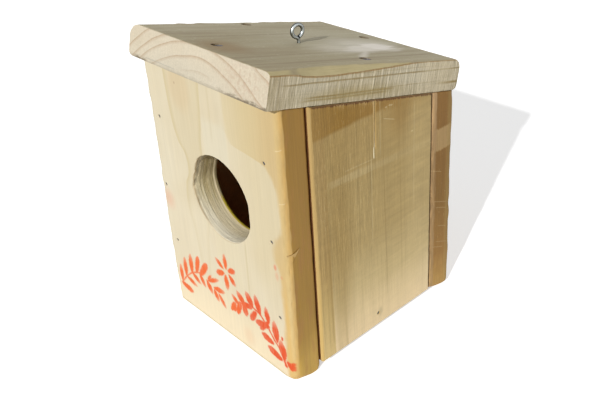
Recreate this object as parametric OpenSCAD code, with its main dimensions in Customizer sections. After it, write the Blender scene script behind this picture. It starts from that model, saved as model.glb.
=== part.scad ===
// Nest box of sawn softwood boards: four walls nailed together at their edges,
// a floor nailed in between the side boards, a one-piece sloping roof board
// screwed down into each wall, and an eye screw in the roof to hang it by.
// Frame: millimetres, +Z up, the entrance faces -Y.  The origin lies on the
// ground, under the middle of the front board's outer face.

/* [Overall] */
// width of the front and back boards
box_width = 150;           // [120:1:185]
// height of the roof's underside at the front board's outer face
front_height = 217;        // [180:1:260]
// fall of the roof from front to back, degrees
roof_slope = 14;           // [8:0.5:18]
// width of the side boards, front to back
side_width = 120;          // [98:1:145]

/* [Boards] */
// thickness of the front board
front_thick = 23.5;        // [18:0.5:28]
// thickness of the back board
back_thick = 26;           // [21:0.5:31]
// thickness of the side boards
side_thick = 22;           // [18:0.5:27]
// how far the side boards stand out past the front board's edge
side_proud = 2.5;          // [0:0.1:4]
// how far the back board stands out past the front board's edge
back_proud = 2.4;          // [0:0.1:3]
// height of the side boards' lower ends above the ground
side_lift = 6.5;           // [3:0.5:12]
// radius of the front board's planed arrises
front_arris = 5;           // [2:0.5:8]
// radius of the sawn boards' arrises
sawn_arris = 1.2;          // [0.6:0.1:2.5]
// radius worn on to the front board's two lower corners
front_worn = 5;            // [1:0.5:8]
// length of the slant worn under the back board, next to the side boards
back_slant = 16;           // [1:0.5:16]
// height of that slant
back_slant_rise = 6;       // [1:0.5:10]
// radius worn on to the back board's lower outer edge
back_worn = 4;             // [1:0.5:4]

/* [Floor] */
// thickness of the floor board
floor_thick = 21;          // [16:0.5:26]
// gap between the floor and each wall
floor_gap = 0.3;           // [0.2:0.1:0.8]

/* [Entrance] */
// radius of the entrance hole
hole_r = 33.5;             // [22:0.5:40.5]
// height of the hole's centre above the ground
hole_z = 126.5;            // [105:0.5:145]
// how far the hole sits to the right of the middle
hole_x = 4.5;              // [-6:0.5:6]

/* [Roof] */
// thickness of the roof board
roof_thick = 24;           // [20:0.5:30]
// overhang at the front, along the slope
eave_front = 9.5;          // [4:0.5:20]
// overhang at the back, along the slope
eave_back = 2.5;           // [2.5:0.5:20]
// overhang on the left
eave_left = 2;             // [2:0.5:15]
// overhang on the right
eave_right = 2;            // [1:0.5:15]
// radius of the planed left edge's upper arris
roof_round = 12;           // [4:0.5:12]
// radius of the roof board's lower left arris
roof_round_low = 7;        // [3:0.5:8]
// radius worn on to the upper arris of the back end
roof_worn = 6;             // [1:0.5:8]
// radius worn on to the lower arris of the back end
roof_worn_low = 3;         // [1:0.5:4]

/* [Fastenings] */
// radius of the nails' shanks
nail_r = 0.8;              // [0.7:0.05:1.2]
// length of the wall nails
nail_length = 50;          // [40:1:60]
// length of the floor nails
floor_nail_length = 45;    // [35:1:60]
// radius of the nails' heads
nail_head_r = 1.35;        // [1.25:0.05:2]
// how far the nail heads are punched below the face
nail_set = 0.5;            // [0.2:0.1:1.2]
// radius of the roof screws' shanks
screw_r = 2;               // [1.5:0.1:2.4]
// length of the roof screws
screw_length = 50;         // [40:1:60]
// radius of the roof screws' countersunk heads
screw_head_r = 4;          // [3:0.1:5]
// how far the screw heads are driven below the roof's face
screw_set = 1.3;           // [1.1:0.1:2]
// clearance around each shank, on the radius
shank_clear = 0.05;        // [0.03:0.01:0.1]

// wood left between the side screws and the inside of the box
screw_cover = 2.2;         // [1:0.1:6]
// how far the front screw sits to the right of the middle
front_screw_x = 3.5;       // [-10:0.5:10]
// how far the back screw sits to the right of the middle
back_screw_x = -2;         // [-10:0.5:10]
// how far the left screw sits behind the side board's middle
left_screw_back = 2.5;     // [-10:0.5:15]
// how far the right screw sits behind the side board's middle
right_screw_back = 10;     // [-10:0.5:15]

/* [Eye screw] */
// how far the eye sits to the right of the middle
eye_x = 7;                 // [-10:0.5:10]
// how far the eye sits in front of the side boards' middle
eye_forward = 3;           // [-5:0.5:10]
// radius of the eye's wire
eye_wire_r = 1.15;         // [0.9:0.05:1.6]
// inside radius of the eye
eye_inner_r = 3.5;         // [2.5:0.1:5]
// height of the eye's centre above the roof's face
eye_rise = 9;              // [7:0.1:14]
// depth of the eye's shank below the roof's face
eye_depth = 18;            // [12:1:20]
// turn of the eye about its shank, degrees
eye_turn = 84;             // [0:5:180]

/* [Parts] */
// the sub-part to draw

/* [Hidden] */
$fn = 64;
eps = 0.01;
// seam between boards that bear on each other
seam = 0.3;
half_width = box_width / 2;
side_face = half_width + side_proud;
back_half = half_width + back_proud;
side_front = front_thick + seam;
side_back = side_front + side_width;
back_front = side_back + seam;
back_face = back_front + back_thick;
cavity_half = side_face - side_thick;
// roof, in its own frame: y runs down the slope, z stands off the underside
roof_x0 = -half_width - eave_left;
roof_x1 = half_width + eave_right;
roof_y0 = -eave_front;
roof_y1 = back_face / cos(roof_slope) + eave_back;
roof_run = roof_y1 - roof_y0;
// fastening places
side_mid_y = side_front + side_width / 2;
back_height = front_height - back_face * tan(roof_slope);
// each wall nail, lower to upper: its distance out from the cavity, and its
// height as a part of the wall's
front_nails_left = [[7.5, 0.285], [12, 0.515], [7, 0.79]];
front_nails_right = [[6, 0.245], [4, 0.532], [3, 0.806]];
back_nails_left = [[7, 0.25], [9, 0.5], [8, 0.75]];
back_nails_right = [[8, 0.25], [7, 0.5], [9, 0.75]];
front_screw_y = front_thick / 2 + 1;
back_screw_y = back_front + back_thick / 2;
side_screw_x = cavity_half + screw_cover + screw_r;
floor_z = side_lift;
floor_mid_z = floor_z + floor_thick / 2;
eye_mid_r = eye_inner_r + eye_wire_r;
eye_y = side_mid_y - eye_forward;
screw_cone = screw_head_r - screw_r;

// ---- frames ----------------------------------------------------------

// children are drawn in the roof's frame: origin on its underside, above
// the front face; y down the slope to the back, z square to the roof
module in_roof_frame() {
    translate([0, 0, front_height])
        rotate([-roof_slope, 0, 0])
            children();
}

// children are drawn on the roof's upper face, plumb, above [x, y]
module on_roof(x, y) {
    translate([x, y, front_height + roof_thick / cos(roof_slope) - y * tan(roof_slope)])
        children();
}

// children point along +z; they are turned to point the given way
module pointing_back() {
    rotate([-90, 0, 0])
        children();
}

module pointing_front() {
    rotate([90, 0, 0])
        children();
}

// ---- board stock ------------------------------------------------------

// the bit outside a quarter round of radius r, in the corner at the origin
module corner_waste(r) {
    difference() {
        translate([-eps, -eps])
            square(r + eps);
        translate([r, r])
            circle(r);
    }
}

// rectangle from [0, 0] to [w, d] with its four corners rounded by r[0..3]:
// front left, front right, back right, back left
module board_section(w, d, r) {
    difference() {
        square([w, d]);
        corner_waste(r[0]);
        translate([w, 0])
            mirror([1, 0])
                corner_waste(r[1]);
        translate([w, d])
            rotate(180)
                corner_waste(r[2]);
        translate([0, d])
            mirror([0, 1])
                corner_waste(r[3]);
    }
}

// everything above the roof's underside, to cut the walls' upper ends with
module above_roof_underside() {
    in_roof_frame()
        translate([-box_width, -box_width, 0])
            cube([2 * box_width, 5 * box_width, box_width]);
}

// ---- fastenings --------------------------------------------------------

// nail along +z, its punched-in head's upper face at z = nail_set
module nail(length) {
    translate([0, 0, nail_set])
        cylinder(h = nail_head_r / 2, r1 = nail_head_r, r2 = nail_r);
    translate([0, 0, nail_set])
        cylinder(h = length - 2 * nail_r, r = nail_r);
    translate([0, 0, nail_set + length - 2 * nail_r])
        cylinder(h = 2 * nail_r, r1 = nail_r, r2 = nail_r / 5);
}

// hole that the nail makes, open at z = 0
module nail_hole(length) {
    translate([0, 0, -1])
        cylinder(h = nail_set + 1, r = nail_head_r + shank_clear);
    translate([0, 0, nail_set])
        cylinder(h = nail_head_r / 2, r1 = nail_head_r + shank_clear,
            r2 = nail_r + shank_clear);
    cylinder(h = nail_set + length + shank_clear, r = nail_r + shank_clear);
}

// countersunk screw driven plumb, its head's upper face at z = -screw_set
module roof_screw_body() {
    translate([0, 0, -screw_set - screw_cone])
        cylinder(h = screw_cone, r1 = screw_r, r2 = screw_head_r);
    translate([0, 0, -screw_set - screw_length + 2 * screw_r])
        cylinder(h = screw_length - 2 * screw_r, r = screw_r);
    translate([0, 0, -screw_set - screw_length])
        cylinder(h = 2 * screw_r, r1 = screw_r / 5, r2 = screw_r);
}

// hole that the screw makes, open upwards through the sloping face
module roof_screw_hole() {
    translate([0, 0, -screw_set])
        cylinder(h = screw_set + screw_head_r, r = screw_head_r + shank_clear);
    translate([0, 0, -screw_set - screw_cone])
        cylinder(h = screw_cone, r1 = screw_r + shank_clear,
            r2 = screw_head_r + shank_clear);
    translate([0, 0, -screw_set - screw_length - shank_clear])
        cylinder(h = screw_set + screw_length, r = screw_r + shank_clear);
}

module at_front_screw() {
    on_roof(front_screw_x, front_screw_y)
        children();
}

module at_back_screw() {
    on_roof(back_screw_x, back_screw_y)
        children();
}

module at_left_screw() {
    on_roof(-side_screw_x, side_mid_y + left_screw_back)
        children();
}

module at_right_screw() {
    on_roof(side_screw_x, side_mid_y + right_screw_back)
        children();
}

// the eye stands plumb near the middle of the roof
module at_eye() {
    on_roof(eye_x, eye_y)
        children();
}

// place of a wall nail on the front (spot = one of the lists' entries)
module at_front_nail(side, spot) {
    translate([side * (cavity_half + spot[0]), 0, spot[1] * front_height])
        pointing_back()
            children();
}

module at_back_nail(side, spot) {
    translate([side * (cavity_half + spot[0]), back_face, spot[1] * back_height])
        pointing_front()
            children();
}

module at_floor_nail(side) {
    translate([side * side_face, side_mid_y, floor_mid_z])
        rotate([0, -90 * side, 0])
            children();
}

module all_roof_screw_holes() {
    at_front_screw()
        roof_screw_hole();
    at_back_screw()
        roof_screw_hole();
    at_left_screw()
        roof_screw_hole();
    at_right_screw()
        roof_screw_hole();
}

module all_front_nail_holes() {
    for (spot = front_nails_left)
        at_front_nail(-1, spot)
            nail_hole(nail_length);
    for (spot = front_nails_right)
        at_front_nail(1, spot)
            nail_hole(nail_length);
}

module all_back_nail_holes() {
    for (spot = back_nails_left)
        at_back_nail(-1, spot)
            nail_hole(nail_length);
    for (spot = back_nails_right)
        at_back_nail(1, spot)
            nail_hole(nail_length);
}

module all_floor_nail_holes() {
    at_floor_nail(-1)
        nail_hole(floor_nail_length);
    at_floor_nail(1)
        nail_hole(floor_nail_length);
}

// ---- boards -------------------------------------------------------------

module front_board() {
    color([0.90, 0.84, 0.70])
        difference() {
            translate([-half_width, 0, 0])
                linear_extrude(front_height + 1)
                    board_section(box_width, front_thick,
                        [front_arris, front_arris, sawn_arris, sawn_arris]);
            above_roof_underside();
            translate([hole_x, front_thick + 1, hole_z])
                pointing_front()
                    cylinder(h = front_thick + 2, r = hole_r);
            front_foot_wear();
            all_front_nail_holes();
            all_roof_screw_holes();
        }
}

// wood worn off the front board's two lower corners
module front_foot_wear() {
    translate([-half_width, front_thick + 1, 0])
        rotate([90, 0, 0])
            linear_extrude(front_thick + 2) {
                corner_waste(front_worn);
                translate([box_width, 0])
                    mirror([1, 0])
                        corner_waste(front_worn);
            }
}

module back_board() {
    color([0.62, 0.50, 0.32])
        difference() {
            translate([-back_half, back_front, 0])
                linear_extrude(front_height)
                    board_section(2 * back_half, back_thick,
                        [sawn_arris, sawn_arris, front_arris, front_arris]);
            above_roof_underside();
            back_foot_wear();
            all_back_nail_holes();
            all_roof_screw_holes();
        }
}

// wood worn off under the back board: a slant, and its outer edge's round
module back_foot_wear() {
    translate([-back_half - 1, back_front, 0])
        rotate([90, 0, 90])
            linear_extrude(2 * back_half + 2) {
                polygon([[-1, -1], [back_slant, -1], [back_slant, 0],
                    [0, back_slant_rise], [-1, back_slant_rise]]);
                translate([back_thick, 0])
                    mirror([1, 0])
                        corner_waste(back_worn);
            }
}

// side board for the left (side = -1) or the right (side = 1)
module side_board(side) {
    difference() {
        translate([side > 0 ? cavity_half : -side_face, side_front, side_lift])
            linear_extrude(front_height)
                board_section(side_thick, side_width,
                    [sawn_arris, sawn_arris, sawn_arris, sawn_arris]);
        above_roof_underside();
        all_front_nail_holes();
        all_back_nail_holes();
        all_roof_screw_holes();
        all_floor_nail_holes();
    }
}

module left_side_board() {
    color([0.72, 0.64, 0.46])
        side_board(-1);
}

module right_side_board() {
    color([0.72, 0.64, 0.46])
        side_board(1);
}

module floor_board() {
    color([0.74, 0.65, 0.48])
        difference() {
            translate([-cavity_half + floor_gap, side_front, floor_z])
                cube([2 * (cavity_half - floor_gap), side_width, floor_thick]);
            all_floor_nail_holes();
        }
}

module roof_board() {
    color([0.66, 0.61, 0.48])
        difference() {
            in_roof_frame()
                translate([roof_x0, roof_y1, 0])
                    rotate([90, 0, 0])
                        linear_extrude(roof_run)
                            board_section(roof_x1 - roof_x0, roof_thick,
                                [roof_round_low, sawn_arris, sawn_arris, roof_round]);
            roof_back_wear();
            all_roof_screw_holes();
            at_eye()
                eye_hole();
        }
}

// wood worn off the two arrises of the roof's back end
module roof_back_wear() {
    in_roof_frame()
        translate([roof_x1 + 1, roof_y1, 0])
            rotate([90, 0, -90])
                linear_extrude(roof_x1 - roof_x0 + 2) {
                    corner_waste(roof_worn_low);
                    translate([0, roof_thick])
                        mirror([0, 1])
                            corner_waste(roof_worn);
                }
}

// ---- eye screw ------------------------------------------------------------

// eye screw standing in the roof's face at z = 0
module eye_body() {
    translate([0, 0, eye_rise])
        rotate([90, 0, eye_turn])
            rotate_extrude()
                translate([eye_mid_r, 0])
                    circle(eye_wire_r);
    translate([0, 0, -eye_depth + 2 * eye_wire_r])
        cylinder(h = eye_depth + eye_rise - eye_mid_r - 2 * eye_wire_r, r = eye_wire_r);
    translate([0, 0, -eye_depth])
        cylinder(h = 2 * eye_wire_r, r1 = eye_wire_r / 5, r2 = eye_wire_r);
}

module eye_hole() {
    translate([0, 0, -eye_depth - shank_clear])
        cylinder(h = eye_depth + eye_wire_r, r = eye_wire_r + shank_clear);
}

module eye_screw() {
    color([0.70, 0.72, 0.74])
        at_eye()
            eye_body();
}

// ---- screws and nails -----------------------------------------------------

module steel() {
    color([0.45, 0.45, 0.46])
        children();
}

module roof_screw_front() {
    steel()
        at_front_screw()
            roof_screw_body();
}

module roof_screw_back() {
    steel()
        at_back_screw()
            roof_screw_body();
}

module roof_screw_left() {
    steel()
        at_left_screw()
            roof_screw_body();
}

module roof_screw_right() {
    steel()
        at_right_screw()
            roof_screw_body();
}

module front_nail(side, spot) {
    steel()
        at_front_nail(side, spot)
            nail(nail_length);
}

module back_nail(side, spot) {
    steel()
        at_back_nail(side, spot)
            nail(nail_length);
}

module floor_nail(side) {
    steel()
        at_floor_nail(side)
            nail(floor_nail_length);
}

// ---- drawing ----------------------------------------------------------------

front_board();
back_board();
left_side_board();
right_side_board();
floor_board();
roof_board();
eye_screw();
roof_screw_front();
roof_screw_back();
roof_screw_left();
roof_screw_right();
front_nail(-1, front_nails_left[2]);  // front_nail_left_upper
front_nail(-1, front_nails_left[1]);  // front_nail_left_middle
front_nail(-1, front_nails_left[0]);  // front_nail_left_lower
front_nail(1, front_nails_right[2]);  // front_nail_right_upper
front_nail(1, front_nails_right[1]);  // front_nail_right_middle
front_nail(1, front_nails_right[0]);  // front_nail_right_lower
back_nail(-1, back_nails_left[2]);  // back_nail_left_upper
back_nail(-1, back_nails_left[1]);  // back_nail_left_middle
back_nail(-1, back_nails_left[0]);  // back_nail_left_lower
back_nail(1, back_nails_right[2]);  // back_nail_right_upper
back_nail(1, back_nails_right[1]);  // back_nail_right_middle
back_nail(1, back_nails_right[0]);  // back_nail_right_lower
floor_nail(-1);  // floor_nail_left
floor_nail(1);  // floor_nail_right
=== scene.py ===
"""Looks of a hanging nest box made of sawn softwood boards.

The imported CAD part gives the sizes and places.  Each board is rebuilt here as
a fine mesh with worn arrises and saw marks, and its holes are cut by a Boolean.
Wood figure runs through the whole of a board, so its faces, its end grain and
the wall of the entrance agree.  Lengths are millimetres up to the moment that
a mesh is made.
"""

import math

import bpy
import numpy as np
from mathutils import Matrix, Vector


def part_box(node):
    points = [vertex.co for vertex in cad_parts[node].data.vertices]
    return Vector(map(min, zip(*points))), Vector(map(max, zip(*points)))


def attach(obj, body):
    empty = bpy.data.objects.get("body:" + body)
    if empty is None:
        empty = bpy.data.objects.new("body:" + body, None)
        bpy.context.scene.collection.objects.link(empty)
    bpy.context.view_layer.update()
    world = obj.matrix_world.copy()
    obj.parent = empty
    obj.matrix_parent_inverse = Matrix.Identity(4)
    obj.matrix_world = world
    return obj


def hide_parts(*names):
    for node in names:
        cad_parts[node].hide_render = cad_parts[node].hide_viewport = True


MM = 0.001

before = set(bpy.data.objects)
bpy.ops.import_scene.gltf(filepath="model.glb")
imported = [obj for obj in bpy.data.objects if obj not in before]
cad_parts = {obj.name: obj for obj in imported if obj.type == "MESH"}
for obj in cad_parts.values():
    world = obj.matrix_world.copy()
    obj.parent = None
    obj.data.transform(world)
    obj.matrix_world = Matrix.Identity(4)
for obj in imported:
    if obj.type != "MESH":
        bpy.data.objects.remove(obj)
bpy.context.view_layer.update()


# ---- sizes, in the CAD model's frame -----------------------------------------


def node_box(node):
    """Lowest and highest corner of a CAD node, in millimetres."""
    low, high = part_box(node)
    return np.array(low) / MM, np.array(high) / MM


FRONT = node_box("front_board")
BACK = node_box("back_board")
LEFT = node_box("left_side_board")
RIGHT = node_box("right_side_board")
FLOOR = node_box("floor_board")

ROOF_SLOPE = math.radians(14)
ROOF_THICK = 24.0
ROOF_SEAT = FRONT[1][2]  # height of the roof's underside at the front face
FACE_X = FRONT[1][0]  # half the width of the front board
FRONT_THICK = FRONT[1][1]
ROOF_FRAME = Matrix.Translation((0, 0, ROOF_SEAT * MM)) @ Matrix.Rotation(
    -ROOF_SLOPE, 4, "X"
)
# the roof board in a frame of its own: across, down the slope, up from its underside
EAVE_FRONT, EAVE_BACK, EAVE_SIDE = 9.5, 2.5, 2.0
ROOF_LOW = np.array([FRONT[0][0] - EAVE_SIDE, -EAVE_FRONT, 0.0])
ROOF_HIGH = np.array(
    [FRONT[1][0] + EAVE_SIDE, BACK[1][1] / math.cos(ROOF_SLOPE) + EAVE_BACK, ROOF_THICK]
)

HOLE_X, HOLE_Z, HOLE_R = 4.5, 126.5, 33.5
NAIL_HEAD_R, NAIL_R, NAIL_SET, NAIL_LENGTH = 1.35, 0.8, 0.5, 50.0
FLOOR_NAIL_LENGTH = 45.0
SCREW_HEAD_R, SCREW_R, SCREW_SET, SCREW_LENGTH = 4.0, 2.0, 1.3, 50.0
SHANK_CLEAR = 0.05
SCREWS = {
    "roof_screw_front": (3.5, 12.75),
    "roof_screw_back": (-2.0, 157.1),
    "roof_screw_left": (-59.7, 86.3),
    "roof_screw_right": (59.7, 93.8),
}
EYE_X, EYE_Y = 7.0, 80.8
EYE_RISE, EYE_INNER_R, EYE_WIRE_R, EYE_DEPTH = 9.0, 3.5, 1.15, 18.0
EYE_TURN = math.radians(84)

# The roof board is cut from the outside of a log.  Its pith lies below it, and
# the log's own surface is left along the right upper arris: (slope, radius).
# A scratch script fitted the pith and the rings to arcs picked in the photo.
PITH_X, PITH_T = 5.2, -81.1
WANE = [(-9.5, 125.7), (5, 125.6), (22, 124.1), (40, 123.6), (57, 124.1),
        (76, 124.8), (96, 125.7), (117, 126.9), (128, 127.3), (180, 127.3)]
ROOF_RINGS = (87.5, 96.7, 106.2, 112.0, 119.8)


def roof_top(y):
    """Height of the roof's upper face at y."""
    return ROOF_SEAT + ROOF_THICK / math.cos(ROOF_SLOPE) - y * math.tan(ROOF_SLOPE)


def roof_underside(y):
    """Height of the roof's lower face at y, a number or a value in a material."""
    return ROOF_SEAT - y * math.tan(ROOF_SLOPE)


# ---- noise for the meshes ----------------------------------------------------


def lattice_hash(cells, seed):
    """A number from -1 to 1 for each row of whole-number cells."""
    h = cells[:, 0] * 374761393 + cells[:, 1] * 668265263 + cells[:, 2] * 2147483629
    h = (h + seed * 974634777) & 0xFFFFFFFF
    h = ((h ^ (h >> 13)) * 1274126177) & 0xFFFFFFFF
    h = (h ^ (h >> 16)) & 0xFFFFFF
    return h / 8388607.5 - 1


def noise(points, sizes, seed=0):
    """Smooth noise from -1 to 1 at each point, its lumps as big as sizes."""
    scaled = points / np.array(sizes, float)
    cell = np.floor(scaled).astype(np.int64)
    part = scaled - cell
    part = part * part * (3 - 2 * part)
    total = np.zeros(len(points))
    for corner in np.ndindex(2, 2, 2):
        weight = np.prod(np.where(np.array(corner) == 1, part, 1 - part), axis=1)
        total += weight * lattice_hash(cell + np.array(corner), seed)
    return total


def smooth(value, low, high):
    """0 at low, 1 at high, with a soft step between."""
    t = np.clip((value - low) / (high - low), 0, 1)
    return t * t * (3 - 2 * t)


def dent(points, centre, size, depth):
    """A hollow with a flat middle: its depth at each point."""
    far = np.sqrt((((points - np.array(centre)) / np.array(size)) ** 2).sum(axis=1))
    return depth * (1 - smooth(far, 0.45, 1.0))


# ---- boards as meshes --------------------------------------------------------


def ticks(low, high, step, round_low, round_high, cuts=7):
    """Lattice places along one side of a board, closer together at its arrises."""
    edge = (np.arange(cuts) / cuts) ** 1.5
    left = high - low - round_low - round_high
    count = max(2, round(left / step) + 1) if left > 0.01 else 1
    middle = np.linspace(low + round_low, high - round_high, count)
    return np.concatenate(
        [low + round_low * edge, middle, high - round_high * edge[::-1]]
    )


def box_lattice(ticks_x, ticks_y, ticks_z):
    """Points and quads of a box's surface, with lines at the given ticks."""
    shape = (len(ticks_x), len(ticks_y), len(ticks_z))
    shell = np.zeros(shape, bool)
    shell[[0, -1]] = True
    shell[:, [0, -1]] = True
    shell[:, :, [0, -1]] = True
    index = np.full(shape, -1)
    index[shell] = np.arange(shell.sum())
    where = np.argwhere(shell)
    points = np.stack(
        [t[where[:, k]] for k, t in enumerate((ticks_x, ticks_y, ticks_z))], axis=1
    )
    quads = []
    for axis in range(3):
        for end in (0, -1):
            sheet = np.take(index, end, axis)
            quad = np.stack(
                [sheet[:-1, :-1], sheet[1:, :-1], sheet[1:, 1:], sheet[:-1, 1:]], -1
            ).reshape(-1, 4)
            outward = (end == -1) != (axis == 1)
            quads.append(quad if outward else quad[:, ::-1])
    return points.astype(float), np.concatenate(quads)


def round_edge(points, low, high, axes, sides, radius):
    """Rounds the edge where two faces meet: axes and sides name the faces."""
    out = []
    for axis, side in zip(axes, sides):
        if side:
            out.append(points[:, axis] - (high[axis] - radius))
        else:
            out.append(low[axis] + radius - points[:, axis])
    shell = np.maximum(*out)
    factor = shell / np.maximum(np.hypot(*out), 1e-9)
    corner = (out[0] > 0) & (out[1] > 0)
    for axis, side, depth in zip(axes, sides, out):
        centre = high[axis] - radius if side else low[axis] + radius
        sign = 1 if side else -1
        points[:, axis] = np.where(corner, centre + sign * depth * factor, points[:, axis])


def new_mesh(name, points, faces):
    """A mesh whose points are given in millimetres."""
    mesh = bpy.data.meshes.new(name)
    mesh.from_pydata((np.asarray(points) * MM).tolist(), [], [list(f) for f in faces])
    mesh.update()
    return mesh


def new_object(name, mesh, matrix=None):
    """An object in the scene, at a place of its own if a matrix is given."""
    made = bpy.data.objects.new(name, mesh)
    bpy.context.scene.collection.objects.link(made)
    if matrix is not None:
        made.matrix_world = matrix
    return made


def vertex_normals(mesh):
    """The direction of each vertex, one row each."""
    normals = np.zeros(len(mesh.vertices) * 3, np.float32)
    mesh.vertex_normals.foreach_get("vector", normals)
    return normals.reshape(-1, 3).astype(float)


def board(name, box, steps, arrises, arris_zone=None, end_round=0.8, grain=2, worn_ends=(),
          end_zone=None, top=None, form=None, relief=None, matrix=None, seed=1):
    """A board as a fine closed mesh.

    arrises holds the radii of the four edges along the grain, in the order
    low/low, high/low, low/high, high/high of the other two axes.  worn_ends
    maps (axis, side, end) of an edge across the grain to a radius of its own.
    A radius is a number or a function of the points, of arris_zone or end_zone
    at most.  top cuts the upper end to a height, form moves points, and relief
    gives how far the surface lies below its nominal place.
    """
    low, high = box
    across = [k for k in range(3) if k != grain]
    widest = arris_zone or max(arrises)
    zone = end_zone or end_round
    rounds = [widest if k in across else zone for k in range(3)]
    points, quads = box_lattice(
        *[ticks(low[k], high[k], steps[k], rounds[k], rounds[k]) for k in range(3)]
    )
    corners = [(0, 0), (1, 0), (0, 1), (1, 1)]
    for sides, radius in zip(corners, arrises):
        if callable(radius):
            radius = radius(points)
        along = np.zeros_like(points)
        along[:, 0] = points[:, grain]
        wear = 1 + 0.22 * noise(along, (9, 1, 1), seed + sides[0] * 2 + sides[1])
        round_edge(points, low, high, across, sides, np.minimum(radius * wear, widest))
    worn_ends = dict(worn_ends)
    for axis in across:
        for side, end in corners:
            radius = worn_ends.get((axis, side, end), end_round)
            if callable(radius):
                radius = radius(points)
            round_edge(points, low, high, (axis, grain), (side, end), radius)
    if top is not None:
        share = (points[:, 2] - low[2]) / (high[2] - low[2])
        points[:, 2] = low[2] + share * (top(points[:, 1]) - low[2])
    if form is not None:
        form(points)
    mesh = new_mesh(name, points, quads)
    if relief is not None:
        normals = vertex_normals(mesh)
        points -= normals * relief(points, normals)[:, None]
        mesh.vertices.foreach_set("co", (points * MM).astype(np.float32).ravel())
        mesh.update()
    return new_object(name, mesh, matrix)


def lathe(profile, segments=32, wobble=None):
    """A closed solid of revolution about z from (radius, height) places.

    The first and last places lie on the axis.  wobble adds to the radius.
    """
    turns = np.arange(segments) * 2 * math.pi / segments
    points = [(0, 0, profile[0][1])]
    for radius, height in profile[1:-1]:
        for turn in turns:
            r = radius + (wobble(turn, height) if wobble else 0)
            points.append((r * math.cos(turn), r * math.sin(turn), height))
    points.append((0, 0, profile[-1][1]))
    faces = []
    rings = len(profile) - 2
    for s in range(segments):
        t = (s + 1) % segments
        faces.append((0, 1 + t, 1 + s))
        for ring in range(rings - 1):
            a, b = 1 + ring * segments, 1 + (ring + 1) * segments
            faces.append((a + s, a + t, b + t, b + s))
        last = 1 + (rings - 1) * segments
        faces.append((last + s, last + t, len(points) - 1))
    return np.array(points, float), faces


def sweep(route, radii, segments=20):
    """A closed round tube along a route of points, with a radius at each."""
    route = np.array(route, float)
    ahead = np.gradient(route, axis=0)
    ahead /= np.linalg.norm(ahead, axis=1)[:, None]
    side = np.cross(ahead[0], (0.3, 0.2, 0.93))
    turns = np.arange(segments) * 2 * math.pi / segments
    points, faces = [], []
    for spot, along, radius in zip(route, ahead, radii):
        side = side - along * side.dot(along)
        side /= np.linalg.norm(side)
        up = np.cross(along, side)
        for turn in turns:
            points.append(spot + radius * (math.cos(turn) * side + math.sin(turn) * up))
    for ring in range(len(route) - 1):
        for s in range(segments):
            t = (s + 1) % segments
            a, b = ring * segments, (ring + 1) * segments
            faces.append((a + s, a + t, b + t, b + s))
    faces.append(tuple(range(segments))[::-1])
    faces.append(tuple(range(len(points) - segments, len(points))))
    return np.array(points), faces


def place(solid, matrix):
    """A solid's points and faces moved by a matrix given in millimetres."""
    points, faces = solid
    m = np.array(matrix)
    return points @ m[:3, :3].T + m[:3, 3], faces


def join(solids):
    """Several solids as one list of points and one of faces."""
    points, faces, start = [], [], 0
    for part, part_faces in solids:
        points.append(part)
        faces += [tuple(start + i for i in face) for face in part_faces]
        start += len(part)
    return np.concatenate(points), faces


def combine(target, solids, operation="DIFFERENCE"):
    """Cuts the solids, given in the CAD frame, out of the target, or adds them."""
    points, faces = join(solids)
    tool = new_object("cutter", new_mesh("cutter", points, faces))
    boolean = target.modifiers.new("holes", "BOOLEAN")
    boolean.operation = operation
    boolean.solver = "MANIFOLD"
    boolean.object = tool
    apply_modifiers(target)
    bpy.data.objects.remove(tool)


def apply_modifiers(target):
    """Replaces the object's mesh with what its modifiers make of it."""
    depsgraph = bpy.context.evaluated_depsgraph_get()
    result = bpy.data.meshes.new_from_object(target.evaluated_get(depsgraph))
    target.modifiers.clear()
    target.data = result


def soften(target, degrees=38):
    """Smooth shading, with edges sharper than the angle left sharp."""
    for polygon in target.data.polygons:
        polygon.use_smooth = True
    target.data.set_sharp_from_angle(angle=math.radians(degrees))


# ---- holes -------------------------------------------------------------------

POINT_BACK = Matrix.Rotation(math.radians(-90), 4, "X")
POINT_FRONT = Matrix.Rotation(math.radians(90), 4, "X")


def nail_hole(length):
    """A nail's hole, with its seat for the head, in the hole's own frame."""
    head, shank = NAIL_HEAD_R + SHANK_CLEAR, NAIL_R + SHANK_CLEAR
    return lathe(
        [(0, -2), (head + 0.5, -2), (head + 0.25, 0), (head, NAIL_SET),
         (shank, NAIL_SET + 0.7), (shank, NAIL_SET + length), (0, NAIL_SET + length)],
        segments=16,
    )


def nail_frames(prefix, matrix):
    """For each CAD nail whose name starts so: a frame at its hole's mouth."""
    found = {}
    for name in sorted(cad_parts):
        if name.startswith(prefix):
            low, high = node_box(name)
            found[name] = matrix((low + high) / 2)
    return found


def mouth_of_floor_nail(middle):
    """A frame on the side board's face that looks into the board."""
    side = math.copysign(1, middle[0])
    return Matrix.Translation((side * RIGHT[1][0], middle[1], middle[2])) @ Matrix.Rotation(
        math.radians(-90 * side), 4, "Y"
    )


FRONT_NAILS = nail_frames(
    "front_nail", lambda p: Matrix.Translation((p[0], 0, p[2])) @ POINT_BACK
)
BACK_NAILS = nail_frames(
    "back_nail", lambda p: Matrix.Translation((p[0], BACK[1][1], p[2])) @ POINT_FRONT
)
FLOOR_NAILS = nail_frames("floor_nail", mouth_of_floor_nail)

front_nail_holes = [place(nail_hole(NAIL_LENGTH), m) for m in FRONT_NAILS.values()]
back_nail_holes = [place(nail_hole(NAIL_LENGTH), m) for m in BACK_NAILS.values()]
floor_nail_holes = [place(nail_hole(FLOOR_NAIL_LENGTH), m) for m in FLOOR_NAILS.values()]


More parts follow.
